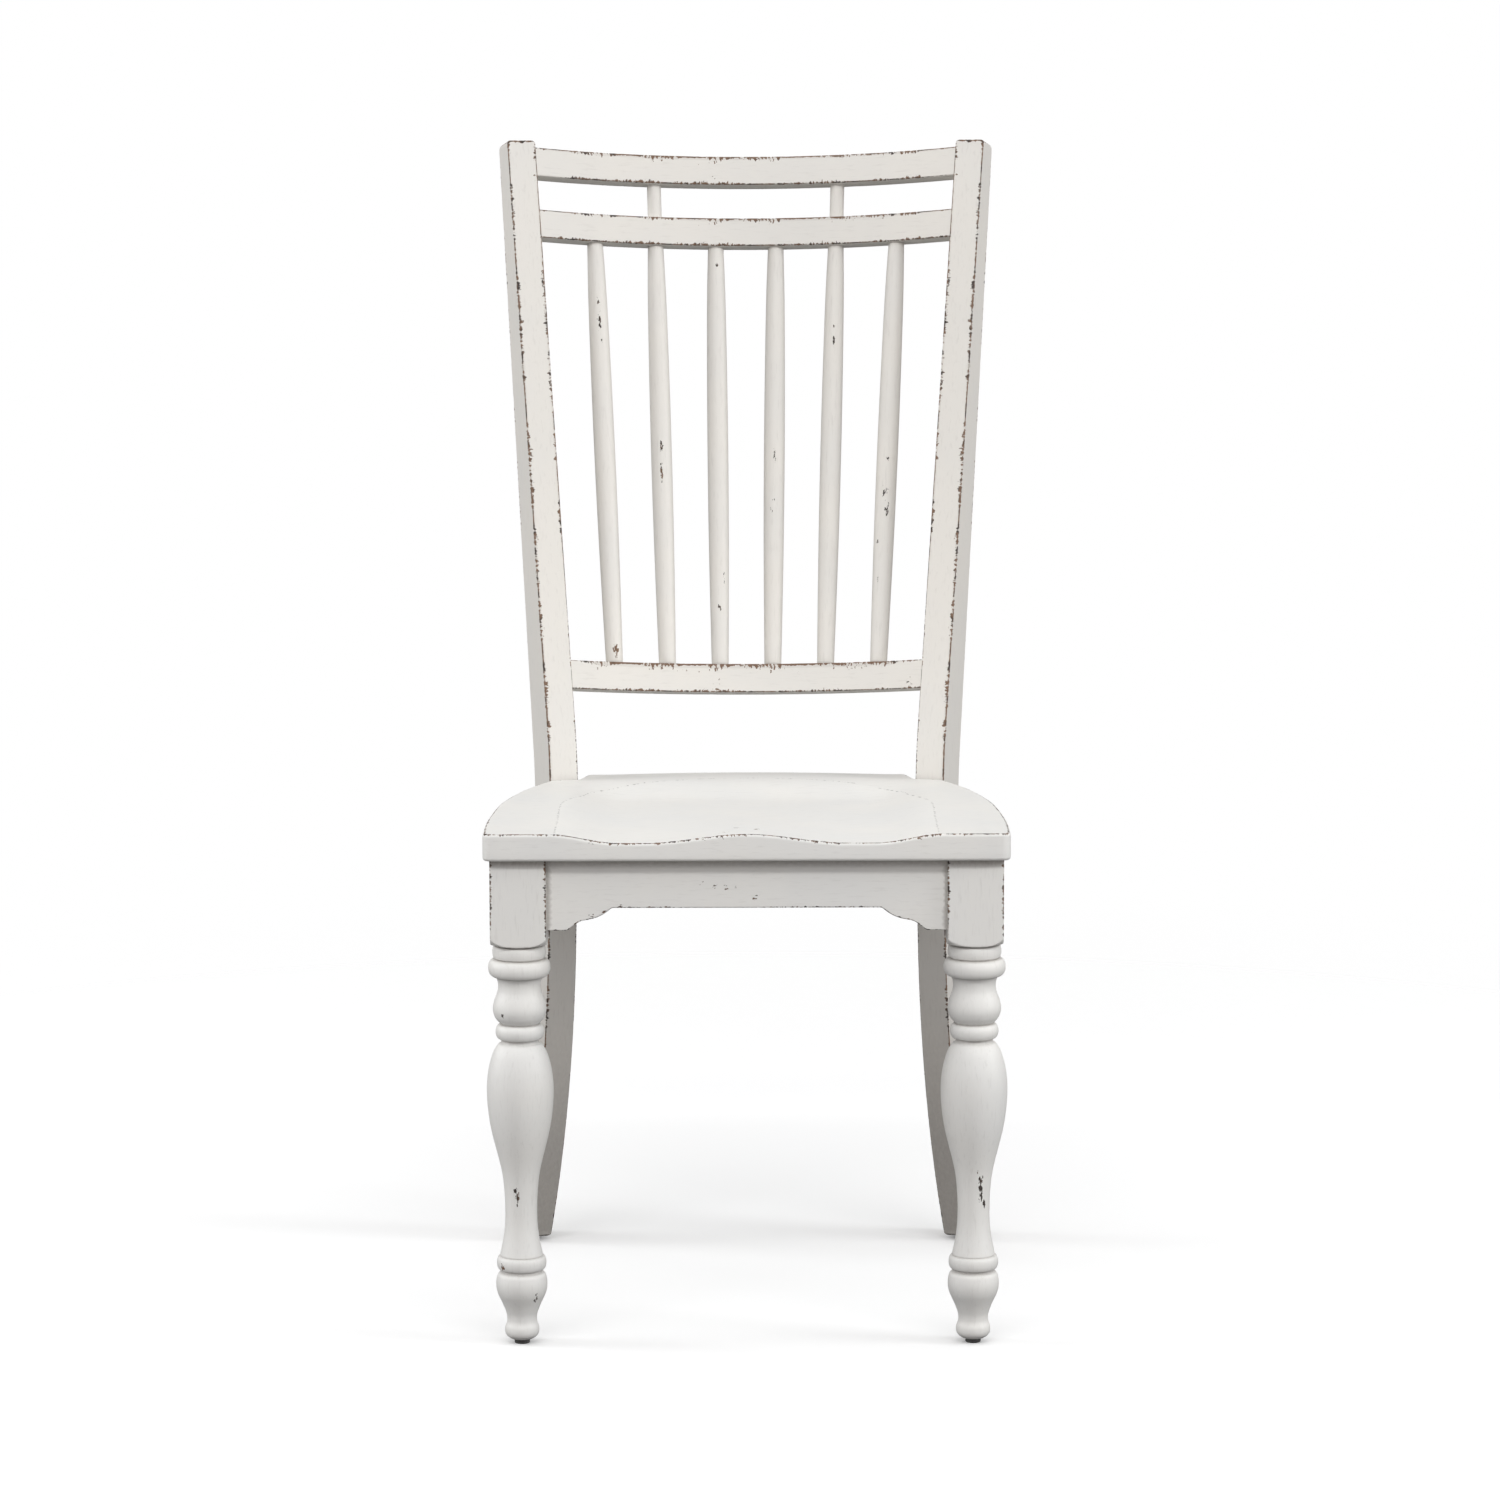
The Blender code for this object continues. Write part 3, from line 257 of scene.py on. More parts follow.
class ChairSizes(PropertyGroup):
    seat_height: length_property("Seat height", "Floor to the top of the seat's front edge", 0.475)
    seat_thickness: length_property("Seat thickness", "Thickness of the seat at its edge", 0.0245)
    seat_half_width: length_property("Seat half width", "Middle to side of the seat", 0.2365)
    seat_depth: length_property("Seat depth", "Front to back of the seat at its middle", 0.435)
    seat_pitch: FloatProperty(
        name="Seat pitch",
        description="Fall of the seat to the rear",
        default=math.radians(1.2),
        unit="ROTATION",
    )
    scoop_depth: length_property("Scoop depth", "Depth of the hollow in the seat", 0.0095)
    post_thickness: length_property("Post thickness", "Thickness of the back posts' boards", 0.0285)
    post_depth: length_property("Post depth", "Front to back of a post at the seat", 0.0465)
    rail_thickness: length_property("Rail thickness", "Front to back of the curved rails", 0.024)
    spindle_radius: length_property("Spindle radius", "Radius at a spindle's swell", 0.0101)
    leg_block: length_property("Leg block", "Width of the square block over a front leg", 0.0506)
    turning_radius: length_property("Turning radius", "Widest radius of a turned leg", 0.0303)
    edge_radius: length_property("Edge radius", "Rounding of the boards' long edges", 0.0013)


class ChairFinish(PropertyGroup):
    paint: colour_property("Paint", "Off-white paint of the back", (0.772, 0.752, 0.713))
    # The seat, its aprons and the front legs have a lighter, cooler copy of the back's paint: the extra
    # lightness is painted light, for the brighter light low on the chair.
    seat_paint: colour_property(
        "Seat paint", "Cooler off-white of the seat, its aprons and the front legs", (0.845, 0.84, 0.818)
    )
    # The glaze colour is also the colour of the painted shade under the seat's edge, behind the seat's
    # hollow, in the leg's creases and down the back posts.
    glaze_and_shade: colour_property("Glaze", "Dirt that lies in the grooves", (0.21, 0.18, 0.155))
    worn: colour_property("Worn wood", "Brown wood that the paint has left", (0.19, 0.115, 0.075))
    stained: colour_property("Stained wood", "Dark parts of the worn wood", (0.055, 0.042, 0.036))
    wear: amount_property("Wear", "How far the paint is worn back from the edges, in millimetres", 1.0)
    bare: colour_property("Bare wood", "Unpainted corner blocks", (0.50, 0.35, 0.20))
    glide: colour_property("Glides", "Grey plastic under the feet", (0.07, 0.068, 0.066))
    steel: colour_property("Steel", "Screws under the seat", (0.55, 0.55, 0.57))


class ChairStudio(PropertyGroup):
    belt: amount_property("Belt", "Brightness of the belt of soft light round the chair", 1.0)
    high: amount_property("High", "Brightness of the walls above the belt", 0.55)
    low: amount_property("Low", "Brightness of the walls below the belt", 0.78)
    tint: colour_property("Tint", "Colour of the walls below the belt", (1.0, 0.955, 0.955))
    key: amount_property("Key", "Power of the long front lamp, in watts", 73.0)
    side: amount_property("Side", "Power of each side lamp, in watts", 58.0)
    floor: colour_property("Floor", "Pale floor as the camera sees it", (0.97, 0.97, 0.97))
    lift: amount_property("Lift", "Light added to the floor where the camera sees it", 0.065, max=1.0)
    bounce: amount_property("Bounce", "Light that the floor throws back on the chair", 0.18, max=1.0)


def sizes():
    return bpy.context.scene.chair_sizes


def finish():
    return bpy.context.scene.chair_finish


# The chair's own layout, counted from the seat's front edge. The frame's origin lies on the floor under the
# chair's middle.
POST_EDGE = (0.188, 0.366)
POST_TOE_IN = math.radians(20)
POST_LEAN = math.radians(1.1)
POST_TOP = 0.6045
POST_RAKE = math.radians(14.7)
POST_BACK_RAKE = math.radians(12.7)
POST_KNEE = 0.0086
POST_BACK_KNEE = -0.012
POST_KNEE_RADIUS = 0.3
SWEEP = (-0.148, 0.76)
BACK_SWEEP = (-0.1, 1.08)
POST_END_RADIUS = 0.004
POST_SQUARE_DROP = 0.0285
END_WEAR = 1.0
FOOT_WEAR = 0.3
LEG_CENTRE = (0.2055, 0.0358)
BLOCK_CORNER_HEIGHT = 0.381
BLOCK_FOOT_HEIGHT = 0.3695
TURNING_HEIGHT = 0.3675
NECK_SHARE = 0.7
GLIDE_THICKNESS = 0.0035
GLIDE_RIM = 0.0012
GLIDE_EDGE = 0.0007
GAP = 0.0003
APRON_BOTTOM = 0.4055
APRON_THICKNESS = 0.020
APRON_SETBACK = 0.0055
APRON_EDGE = 0.0011
APRON_REAR_DEPTH = 0.025
SCALLOP = (0.1198, 0.1626, 0.0206)
HOLLOW = {"half": 0.177, "back": 0.375, "wall": 0.062, "back_wall": 0.09, "front": 0.85}
RIDGE = (0.09, 0.22)
SEAT_BACK_RADIUS = 0.583
SEAT_CORNER = 0.008
SEAT_MIDDLE = (0.0, 0.21)
# The rounding of the seat's upper and lower edge
SEAT_ROUNDS = (0.0026, 0.003)
# The rings of the seat's top close to its edge and at its middle, as shares of its outline
SEAT_RIM_RINGS = (0.998, 0.994, 0.988, 0.98, 0.97)
SEAT_LAST_RING = 0.015
# How much lower the seat lies behind its hollow
SEAT_REAR_DROP = 0.0014
# Each rail's place and curve, the wear along its edges as (share across from the left, strength), and the
# chips in its front face as (share across, height share, patch in millimetres, strength)
RAILS = {
    "crest_rail": {
        "bottom": 1.0368,
        "height": 0.0277,
        "sag": 0.046,
        "top_wear": ((0.0, 0.9), (0.12, 1.4), (0.25, 1.8), (0.4, 1.9), (0.55, 1.6), (0.8, 1.4), (1.0, 1.0)),
        "lower_wear": (
            (0.0, 0.05), (0.08, 0.1), (0.1, 0.95), (0.35, 1.0), (0.9, 0.8), (0.93, 0.2), (1.0, 0.1),
        ),
        "chips": ((0.43, 0.2, 2.2, 0.85),),
    },
    "neck_rail": {
        "bottom": 0.9781,
        "height": 0.0272,
        "sag": 0.046,
        "top_wear": ((0.0, 0.9), (0.3, 1.2), (0.4, 1.7), (0.75, 1.7), (1.0, 0.9)),
        "lower_wear": ((0.0, 0.6), (0.1, 0.85), (0.55, 0.95), (0.7, 0.8), (1.0, 0.7)),
        "chips": ((0.222, 0.4, 2.0, 0.9),),
    },
    "lower_back_rail": {
        "bottom": 0.5519,
        "height": 0.0276,
        "sag": 0.035,
        "top_wear": (
            (0.0, 0.3), (0.06, 0.7), (0.09, 2.1), (0.4, 2.3), (0.75, 2.2), (0.9, 2.0), (0.93, 0.6),
            (1.0, 0.4),
        ),
        "lower_wear": ((0.0, 0.3), (0.07, 0.8), (0.5, 0.9), (0.8, 0.7), (1.0, 0.6)),
        "chips": ((0.42, 0.55, 2.0, 0.95), (0.418, 0.1, 3.0, 1.1), (0.95, 0.2, 2.5, 1.0)),
    },
}
RAIL_SETBACK = 0.0015
# How far a rail's skin runs on inside the posts
RAIL_END = 0.006
BLOCK_BEVEL = 0.0008
SPINDLES = 6
SPINDLE_PITCHES = (0.0510, 0.0587)
LONG_SPINDLES = (2, 5)
# How far a spindle's skin runs on inside a rail
SPINDLE_END = 0.004
NECK_RADIUS = 0.0068


def front_edge_y():
    """Where the seat's front edge lies in the frame, found from the glide under a front leg."""
    low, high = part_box("glide_front_left")
    return (low.y + high.y) / 2 - LEG_CENTRE[1]


class Skin:
    """Gathers a piece's points and faces, with what the paint needs to know at each point."""

    def __init__(self):
        self.points = []
        self.faces = []
        self.grain = []
        # Each point's marks. The dirt mark is dirt in the grooves and joints, and also painted shade under
        # the seat's edge, behind the seat's hollow, in the leg's creases and down the back posts.
        self.marks = {"edge": [], "wear": [], "chips": [], "groove": [], "line": []}

    def add(self, point, grain, edge=FAR, wear=0.0, chips=0.0, groove=0.0, line=FAR):
        """edge is the distance to the nearest worn edge and line to a drawn line, both in millimetres."""
        self.points.append(tuple(point))
        self.grain.append(tuple(grain))
        for name, value in zip(self.marks, (edge, wear, chips, groove, line)):
            self.marks[name].append(value)
        return len(self.points) - 1

    def bridge(self, first, second):
        count = len(first)
        for i in range(count):
            j = (i + 1) % count
            self.faces.append((first[i], first[j], second[j], second[i]))

    def tube(self, rings):
        for first, second in zip(rings, rings[1:]):
            self.bridge(first, second)

    def cap(self, ring, start):
        """Closes one end. The first ring of a tube is closed the other way round."""
        self.faces.append(tuple(reversed(ring)) if start else tuple(ring))

    def even_cap(self, ring, flat, spacing, start, add):
        """Closes one end with small triangles, so that marks inside it stay sharp.
        flat holds the ring's points in the plane, and add makes a point there."""
        area = sum(a[0] * b[1] - b[0] * a[1] for a, b in zip(flat, [*flat[1:], flat[0]]))
        tree = tree_of([(u, v, 0.0) for u, v in flat])
        indices, plane = list(ring), [Vector(point) for point in flat]
        low = [min(point[k] for point in flat) for k in (0, 1)]
        high = [max(point[k] for point in flat) for k in (0, 1)]
        rows = int((high[1] - low[1]) / spacing)
        columns = int((high[0] - low[0]) / spacing)
        for row in range(1, rows + 1):
            for column in range(1, columns + 1):
                u = low[0] + (column + (row % 2) / 2) * spacing
                v = low[1] + row * spacing
                if inside(u, v, flat) and tree.find((u, v, 0.0))[2] > spacing * 0.6:
                    plane.append(Vector((u, v)))
                    indices.append(add(u, v))
        count = len(ring)
        rim = [(i, (i + 1) % count) for i in range(count)]
        points, _, triangles, sources, _, _ = delaunay_2d_cdt(plane, rim, [], 1, 1e-7)
        known = [indices[source[0]] if source else add(*point) for point, source in zip(points, sources)]
        for triangle in triangles:
            a, b, c = (points[i] for i in triangle)
            turns = (b - a).x * (c - a).y - (c - a).x * (b - a).y
            face = tuple(known[i] for i in triangle)
            same = (turns > 0) == (area > 0)
            self.faces.append(face if same != start else tuple(reversed(face)))

    def closed(self, rings, name, node, material, slot="white_paint"):
        """Makes the piece: a tube through all its rings, closed at both ends."""
        self.tube(rings)
        self.cap(rings[0], True)
        self.cap(rings[-1], False)
        self.object(name, [node], material)

    def volume(self):
        points = [Vector(point) for point in self.points]
        total = 0.0
        for face in self.faces:
            for i, j in zip(face[1:], face[2:]):
                total += points[face[0]].dot(points[i].cross(points[j]))
        return total

    def object(self, name, nodes, material):
        mesh = bpy.data.meshes.new(name)
        shift = front_edge_y()
        faces = self.faces if self.volume() > 0 else [tuple(reversed(face)) for face in self.faces]
        # A solid's facets lie a hair inside the true curve, so a skin is held to the solids' box
        points = [
            [min(max(value, low), high) for value, low, high in zip((x, y + shift, z), *cad_bounds)]
            for x, y, z in self.points
        ]
        mesh.from_pydata(points, [], faces)
        for mark, values in self.marks.items():
            layer = mesh.attributes.new(mark, "FLOAT", "POINT")
            layer.data.foreach_set("value", values)
        layer = mesh.attributes.new("grain", "FLOAT_VECTOR", "POINT")
        layer.data.foreach_set("vector", [value for grain in self.grain for value in grain])
        mesh.materials.append(material)
        mesh.validate()
        mesh.shade_smooth()
        mesh.set_sharp_from_angle(angle=SHARP_ANGLE)
        obj = linked(name, mesh)
        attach(obj, "root")
        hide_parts(*nodes)


def inside(u, v, outline):
    odd = False
    for (a, b), (c, d) in zip(outline, [*outline[1:], outline[0]]):
        if (b > v) != (d > v) and u < a + (c - a) * (v - b) / (d - b):
            odd = not odd
    return odd


def nibble(point, wear, edge):
    """How far a worn edge is knocked back here, in metres: a few soft dents along it."""
    if edge > DENT_REACH or wear <= 0.0:
        return 0.0
    dent = max(noise.noise(point * 130.0) * 0.6 + noise.noise(point * 420.0) * 0.4, 0.0)
    return dent * wear * 0.55 * MM * (1 - edge / DENT_REACH)


def painted_shade_under_seat(drop, reach):
    """Painted shade under the seat's edge: even down to its reach, and gone soon after."""
    return math.exp(-((drop / reach) ** 4))


def section(width, depth, radius, inset=0.0):
    """A board's cross-section, with rounded corners. Each point has its place across and through the board,
    the distance to the nearest corner in millimetres, the corner's number and the direction out of it."""
    low, right, top = inset + radius, width - inset - radius, depth - inset - radius
    half = 0.5 * math.pi
    centres = ((low, low, 2 * half), (right, low, 3 * half), (right, top, 0.0), (low, top, half))
    points = []
    for number, (a, b, start) in enumerate(centres):
        for angle in span(0.0, math.pi / 2, 6):
            away = (math.cos(start + angle), math.sin(start + angle))
            edge = radius * abs(angle - math.pi / 4) / MM
            points.append((a + radius * away[0], b + radius * away[1], edge, number, away))
        following = (number + 1) % 4
        end_a, end_b, end_start = centres[following]
        away = (math.cos(end_start), math.sin(end_start))
        start_point = (a + radius * away[0], b + radius * away[1])
        end_point = (end_a + radius * away[0], end_b + radius * away[1])
        length = math.dist(start_point, end_point)
        nears = [near * MM for near in (0.5, 1.1, 2.2, 4.0)]
        for place in [*nears, length / 2, *[length - near for near in reversed(nears)]]:
            share = place / length
            edge = half_round(radius) + min(place, length - place) / MM
            nearest = number if place < length / 2 else following
            point = [s + (e - s) * share for s, e in zip(start_point, end_point)]
            points.append((point[0], point[1], edge, nearest, away))
    return points


def board_axes(side):
    """The post's inward, backward and upward directions."""
    turn = Matrix.Rotation(POST_TOE_IN, 3, "Z")
    inward = turn @ Vector((math.cos(POST_LEAN), 0.0, -math.sin(POST_LEAN)))
    back = turn @ Vector((0.0, 1.0, 0.0))
    up = turn @ Vector((math.sin(POST_LEAN), 0.0, math.cos(POST_LEAN)))
    return [Vector((-side * axis.x, axis.y, axis.z)) for axis in (inward, back, up)]


def seat_top_at(y):
    return sizes().seat_height - math.tan(sizes().seat_pitch) * y


def post_point(side, inward, back, up):
    x, y = POST_EDGE
    axes = board_axes(side)
    return Vector((side * x, y, seat_top_at(y))) + axes[0] * inward + axes[1] * back + axes[2] * up


def edge_curve(up, knee, rake, sweep):
    """How far back a long edge of the post lies at this height."""
    bend_start = knee - POST_KNEE_RADIUS * math.tan(rake / 2)
    bend_end = bend_start + POST_KNEE_RADIUS * math.sin(rake)
    start, radius = sweep
    if up >= bend_end:
        return (up - knee) * math.tan(rake)
    if up >= bend_start:
        return POST_KNEE_RADIUS - math.sqrt(POST_KNEE_RADIUS**2 - (up - bend_start) ** 2)
    if up >= start:
        return 0.0
    return radius - math.sqrt(radius**2 - (start - up) ** 2)


def post_front(up):
    return edge_curve(up, POST_KNEE, POST_RAKE, SWEEP)


def post_back(up):
    return sizes().post_depth + edge_curve(up, POST_BACK_KNEE, POST_BACK_RAKE, BACK_SWEEP)


def post_bottom():
    x, y = POST_EDGE
    base = GLIDE_THICKNESS + GAP
    return (base - seat_top_at(y) + math.sin(POST_LEAN) * sizes().post_thickness) / math.cos(POST_LEAN)


class BoardPlace:
    """One cross-section of a post, from its front edge to its back edge, square to the rake near the top."""

    def __init__(self, up):
        drop = POST_SQUARE_DROP * math.sin(POST_RAKE) * ease((up - 0.1) / 0.35)
        self.front = Vector((post_front(up), up))
        self.back = Vector((post_back(up - drop), up - drop))
        self.depth = (self.back - self.front).length

    def at(self, depth):
        return self.front + (self.back - self.front) * depth / self.depth


def make_post(side, label, material):
    skin = Skin()
    width, radius = sizes().post_thickness, sizes().edge_radius
    bottom = post_bottom()
    rings = []

    def ring(place, lift, inset, end_edge, end_wear):
        points = []
        for across, depth, edge, corner, away in section(width, place.depth, radius, inset):
            front, up = place.at(depth)
            share = (up - bottom) / (POST_TOP - bottom)
            wear = shared(ARRIS_WEAR if corner == 0 else INNER_WEAR, share) * (1.0 if corner < 2 else 0.8)
            if end_edge < edge:
                edge, wear = end_edge, end_wear
            world = post_point(side, across, front, up + lift)
            back = nibble(world, wear, edge)
            world = post_point(side, across - away[0] * back, front - away[1] * back, up + lift)
            # The posts are painted darker below the seat, more so towards the feet: painted shade under the
            # seat.
            painted_shade_below_seat = 0.55 * ease((0.36 - world.z) / 0.3)
            points.append(skin.add(world, (up, across, front), edge, wear, 0.0, painted_shade_below_seat))
        rings.append(points)

    end = POST_END_RADIUS
    foot, head = BoardPlace(bottom + end), BoardPlace(POST_TOP - end)
    for inset, fall, edge in reversed(quarter_round(end, 6)):
        ring(foot, fall - end, inset, edge, FOOT_WEAR)
    for up in span(bottom, POST_TOP, 300):
        if bottom + end < up < POST_TOP - end:
            to_end = (POST_TOP - end - up) / MM + half_round(end)
            ring(BoardPlace(up), 0.0, 0.0, to_end if to_end < 12 else FAR, END_WEAR)
    for inset, fall, edge in quarter_round(end, 6):
        ring(head, end - fall, inset, edge, END_WEAR)
    for further in (0.5, 1.5, 3.5, 7.0):
        ring(head, end, end + further * MM, half_round(end) + further, END_WEAR)
    skin.closed(rings, f"post_skin_{label}", f"back_post_{label}", material)


class Rail:
    """Where a curved rail lies: X across, Y back and Z up the rake, from the middle of its lower edge."""

    def __init__(self, name):
        self.height = RAILS[name]["height"]
        self.sag = RAILS[name]["sag"]
        lower = self.edge_point(RAILS[name]["bottom"])
        upper = self.edge_point(RAILS[name]["bottom"] + self.height)
        rise = Vector((0.0, upper.y - lower.y, upper.z - lower.z)).normalized()
        across = Vector((1.0, 0.0, 0.0))
        back = rise.cross(across)
        self.half_chord = lower.x
        self.radius = (self.half_chord**2 + self.sag**2) / (2 * self.sag)
        self.matrix = standing(across, back, rise, Vector((0.0, lower.y, lower.z)))

    def edge_point(self, height):
        thickness = sizes().post_thickness
        drop = math.sin(POST_LEAN) * thickness
        up = (height - seat_top_at(POST_EDGE[1]) + drop) / math.cos(POST_LEAN)
        return post_point(1, thickness, post_front(up) + RAIL_SETBACK, up)

    def at(self, angle, depth, height):
        reach = self.radius + depth
        back = self.sag - self.radius + reach * math.cos(angle)
        return self.matrix @ Vector((reach * math.sin(angle), back, height))

    def middle_at(self, x, height):
        mid = self.radius + sizes().rail_thickness / 2
        depth = self.sag - self.radius + math.sqrt(mid**2 - x**2)
        return self.matrix @ Vector((x, depth, height))


def make_rail(name, material):
    skin, radius = Skin(), sizes().edge_radius
    rail, look = Rail(name), RAILS[name]
    half_angle = math.asin(rail.half_chord / rail.radius) + RAIL_END / rail.radius
    spots = [(place * 2 * rail.half_chord, rise * rail.height, *rest) for place, rise, *rest in look["chips"]]
    rings = []
    for angle in span(-half_angle, half_angle, 130):
        points = []
        share = (angle / half_angle + 1) / 2
        for height, depth, edge, corner, away in section(rail.height, sizes().rail_thickness, radius):
            upper = corner in (1, 2)
            wear = shared(look["top_wear" if upper else "lower_wear"], share) * (1.0 if corner < 2 else 0.75)
            world = rail.at(angle, depth, height)
            back = nibble(world, wear, edge)
            world = rail.at(angle, depth - away[1] * back, height - away[0] * back)
            front = depth < sizes().rail_thickness / 2
            chip = spot_at(spots, share * 2 * rail.half_chord, height) if front else 0.0
            points.append(skin.add(world, (rail.radius * angle, height, depth), edge, wear, chip))
        rings.append(points)
    skin.closed(rings, f"{name}_skin", name, material)


def spot_at(spots, across, along, drop=0.0):
    """How chipped a flat face is here. Each spot has its place across and along the face, its patch in
    millimetres and its strength."""
    chips = (k * bell(math.hypot(across - u, along - v, drop) / MM, patch) for u, v, patch, k in spots)
    return max(chips, default=0.0)


def chip_at(chips, radius, angle, height):
    """How chipped a turned piece is here. Each chip has its height, its degrees from the front, the length
    and width of its patch in millimetres and its strength."""
    chip = 0.0
    for place, degrees, long, wide, strength in chips:
        aside = radius * math.remainder(angle - math.radians(degrees), 2 * math.pi) / MM
        reach = math.hypot((height - place) / MM / long, aside / wide)
        chip = max(chip, strength * bell(reach, 1.0))
    return chip


def finer_angles(angles, chips, radius):
    """The angles of a ring, with closer ones across each chip."""
    found = set(angles)
    for _, degrees, _, wide, _ in chips:
        for step in range(-6, 7):
            found.add((math.radians(degrees) + step * wide * MM / 3 / radius) % (2 * math.pi))
    return sorted(found)


def finer_profile(profile, chips):
    """The (height, radius) pairs of a turned piece from the bottom up, with closer ones at each chip."""
    heights = {height for height, _ in profile}
    for place, _, long, _, _ in chips:
        heights.update(place + step * long * MM / 5 for step in range(-9, 10))
    low, high = profile[0][0], profile[-1][0]
    return [(height, shared(profile, height)) for height in sorted(heights) if low <= height <= high]


def round_ring(skin, matrix, radius, height, angles, grain_shift=0.0, chips=(), **marks):
    """One ring of a turned piece."""
    points = []
    for angle in angles:
        across, front = radius * math.sin(angle), -radius * math.cos(angle)
        world = matrix @ Vector((across, front, height))
        chip = chip_at(chips, radius, angle, height)
        points.append(skin.add(world, (height + grain_shift, across, front), chips=chip, **marks))
    return points


def spindle_matrix(start, end):
    """X across and -Y to the front, with Z up the spindle."""
    up = (end - start).normalized()
    across = Vector((1.0, 0.0, 0.0))
    across = (across - up * across.dot(up)).normalized()
    return standing(across, up.cross(across), up, start)


def make_spindle(index, lower, neck, crest, material):
    skin = Skin()
    step = index - (SPINDLES + 1) / 2
    start = lower.middle_at(step * SPINDLE_PITCHES[0], lower.height)
    end = neck.middle_at(step * SPINDLE_PITCHES[1], 0.0)
    matrix = spindle_matrix(start, end)
    length = (end - start).length
    chips = [(place * length, *rest) for place, *rest in SPINDLE_CHIPS[index]]
    swell = sizes().spindle_radius
    profile = [(-SPINDLE_END, SPINDLE_SHARES[0][1] * swell)]
    profile += [(share * length, radius * swell) for share, radius in smooth(SPINDLE_SHARES, 16)]
    if index in LONG_SPINDLES:
        along = (end - start).normalized()
        up = crest.matrix.to_3x3() @ Vector((0.0, 0.0, 1.0))
        reach = (crest.matrix.translation - start).dot(up) / along.dot(up)
        heights = [length + 2 * MM, *span(length + 8 * MM, reach + SPINDLE_END, 12)]
        profile += [(height, NECK_RADIUS) for height in heights]
    else:
        profile.append((length + SPINDLE_END, profile[-1][1]))
    angles = finer_angles(span(0.0, 2 * math.pi, 40)[:-1], chips, swell)
    rings = []
    for height, radius in finer_profile(profile, chips):
        to_joint = min(abs(height), abs(height - length)) / MM
        rubbed = 3.0 if index == 1 and height < 0.06 * length else 0.0
        marks = {"groove": 0.5 * bell(to_joint, 1.5), "wear": rubbed}
        rings.append(round_ring(skin, matrix, radius, height, angles, 0.61 * index, chips, **marks))
    skin.closed(rings, f"spindle_skin_{index}", f"spindle_{index}", material)


def bead(shares, scale):
    """Half a round moulding between two heights, with a narrow cut at each end."""
    top, bottom = shares[0] * TURNING_HEIGHT, shares[1] * TURNING_HEIGHT
    low = shares[3] * scale
    rise = shares[2] * scale - low
    middle, half = (top + bottom) / 2, (top - bottom) / 2
    angles = span(0.0, math.pi, 18)
    return [(middle + half * math.cos(angle), low + rise * math.sin(angle) ** 0.85) for angle in angles]


def leg_profile():
    """(height, radius) down the turning."""
    scale = sizes().turning_radius

    def turned(shares):
        return [(height * TURNING_HEIGHT, radius * scale) for height, radius in shares]

    profile = bead(BEAD_SHARES[0], scale) + bead(BEAD_SHARES[1], scale) + turned(smooth(URN_SHARES, 4))[1:]
    profile += bead(COLLAR_SHARES, scale) + turned([(COLLAR_GROOVE_SHARE, COLLAR_SHARES[3])])
    profile += turned(smooth(BALUSTER_SHARES, 4))
    profile += bead(ANKLE_SHARES, scale) + turned([(ANKLE_GROOVE_SHARE, ANKLE_SHARES[3])])
    return profile + turned(smooth(FOOT_SHARES, 4))


def block_radius(angle, half, corner):
    """Middle to face of a square block with rounded corners, in this direction."""
    across, along = sorted((abs(math.cos(angle)), abs(math.sin(angle))))
    if half / along * across <= half - corner:
        return half / along
    centre = half - corner
    reach = (across + along) * centre
    return reach + math.sqrt(max(reach**2 - 2 * centre**2 + corner**2, 0.0))


def shoulder_radius(height):
    """The lathe's round cut into the block's lower corners."""
    neck = NECK_SHARE * sizes().turning_radius
    corner = sizes().leg_block / 2 * math.sqrt(2)
    share = (height - BLOCK_FOOT_HEIGHT) / (BLOCK_CORNER_HEIGHT - BLOCK_FOOT_HEIGHT)
    return neck + (corner - neck) * math.sin(math.acos(max(1 - share, 0.0)))


def leg_angles():
    """Even steps round the leg, with more of them at the block's corners."""
    angles = {2 * math.pi * i / 80 for i in range(80)}
    for quarter in range(4):
        corner = math.pi / 4 + quarter * math.pi / 2
        angles.update(corner + math.radians(step) for step in (-3, -2, -1, 1, 2, 3))
    return sorted(angles)


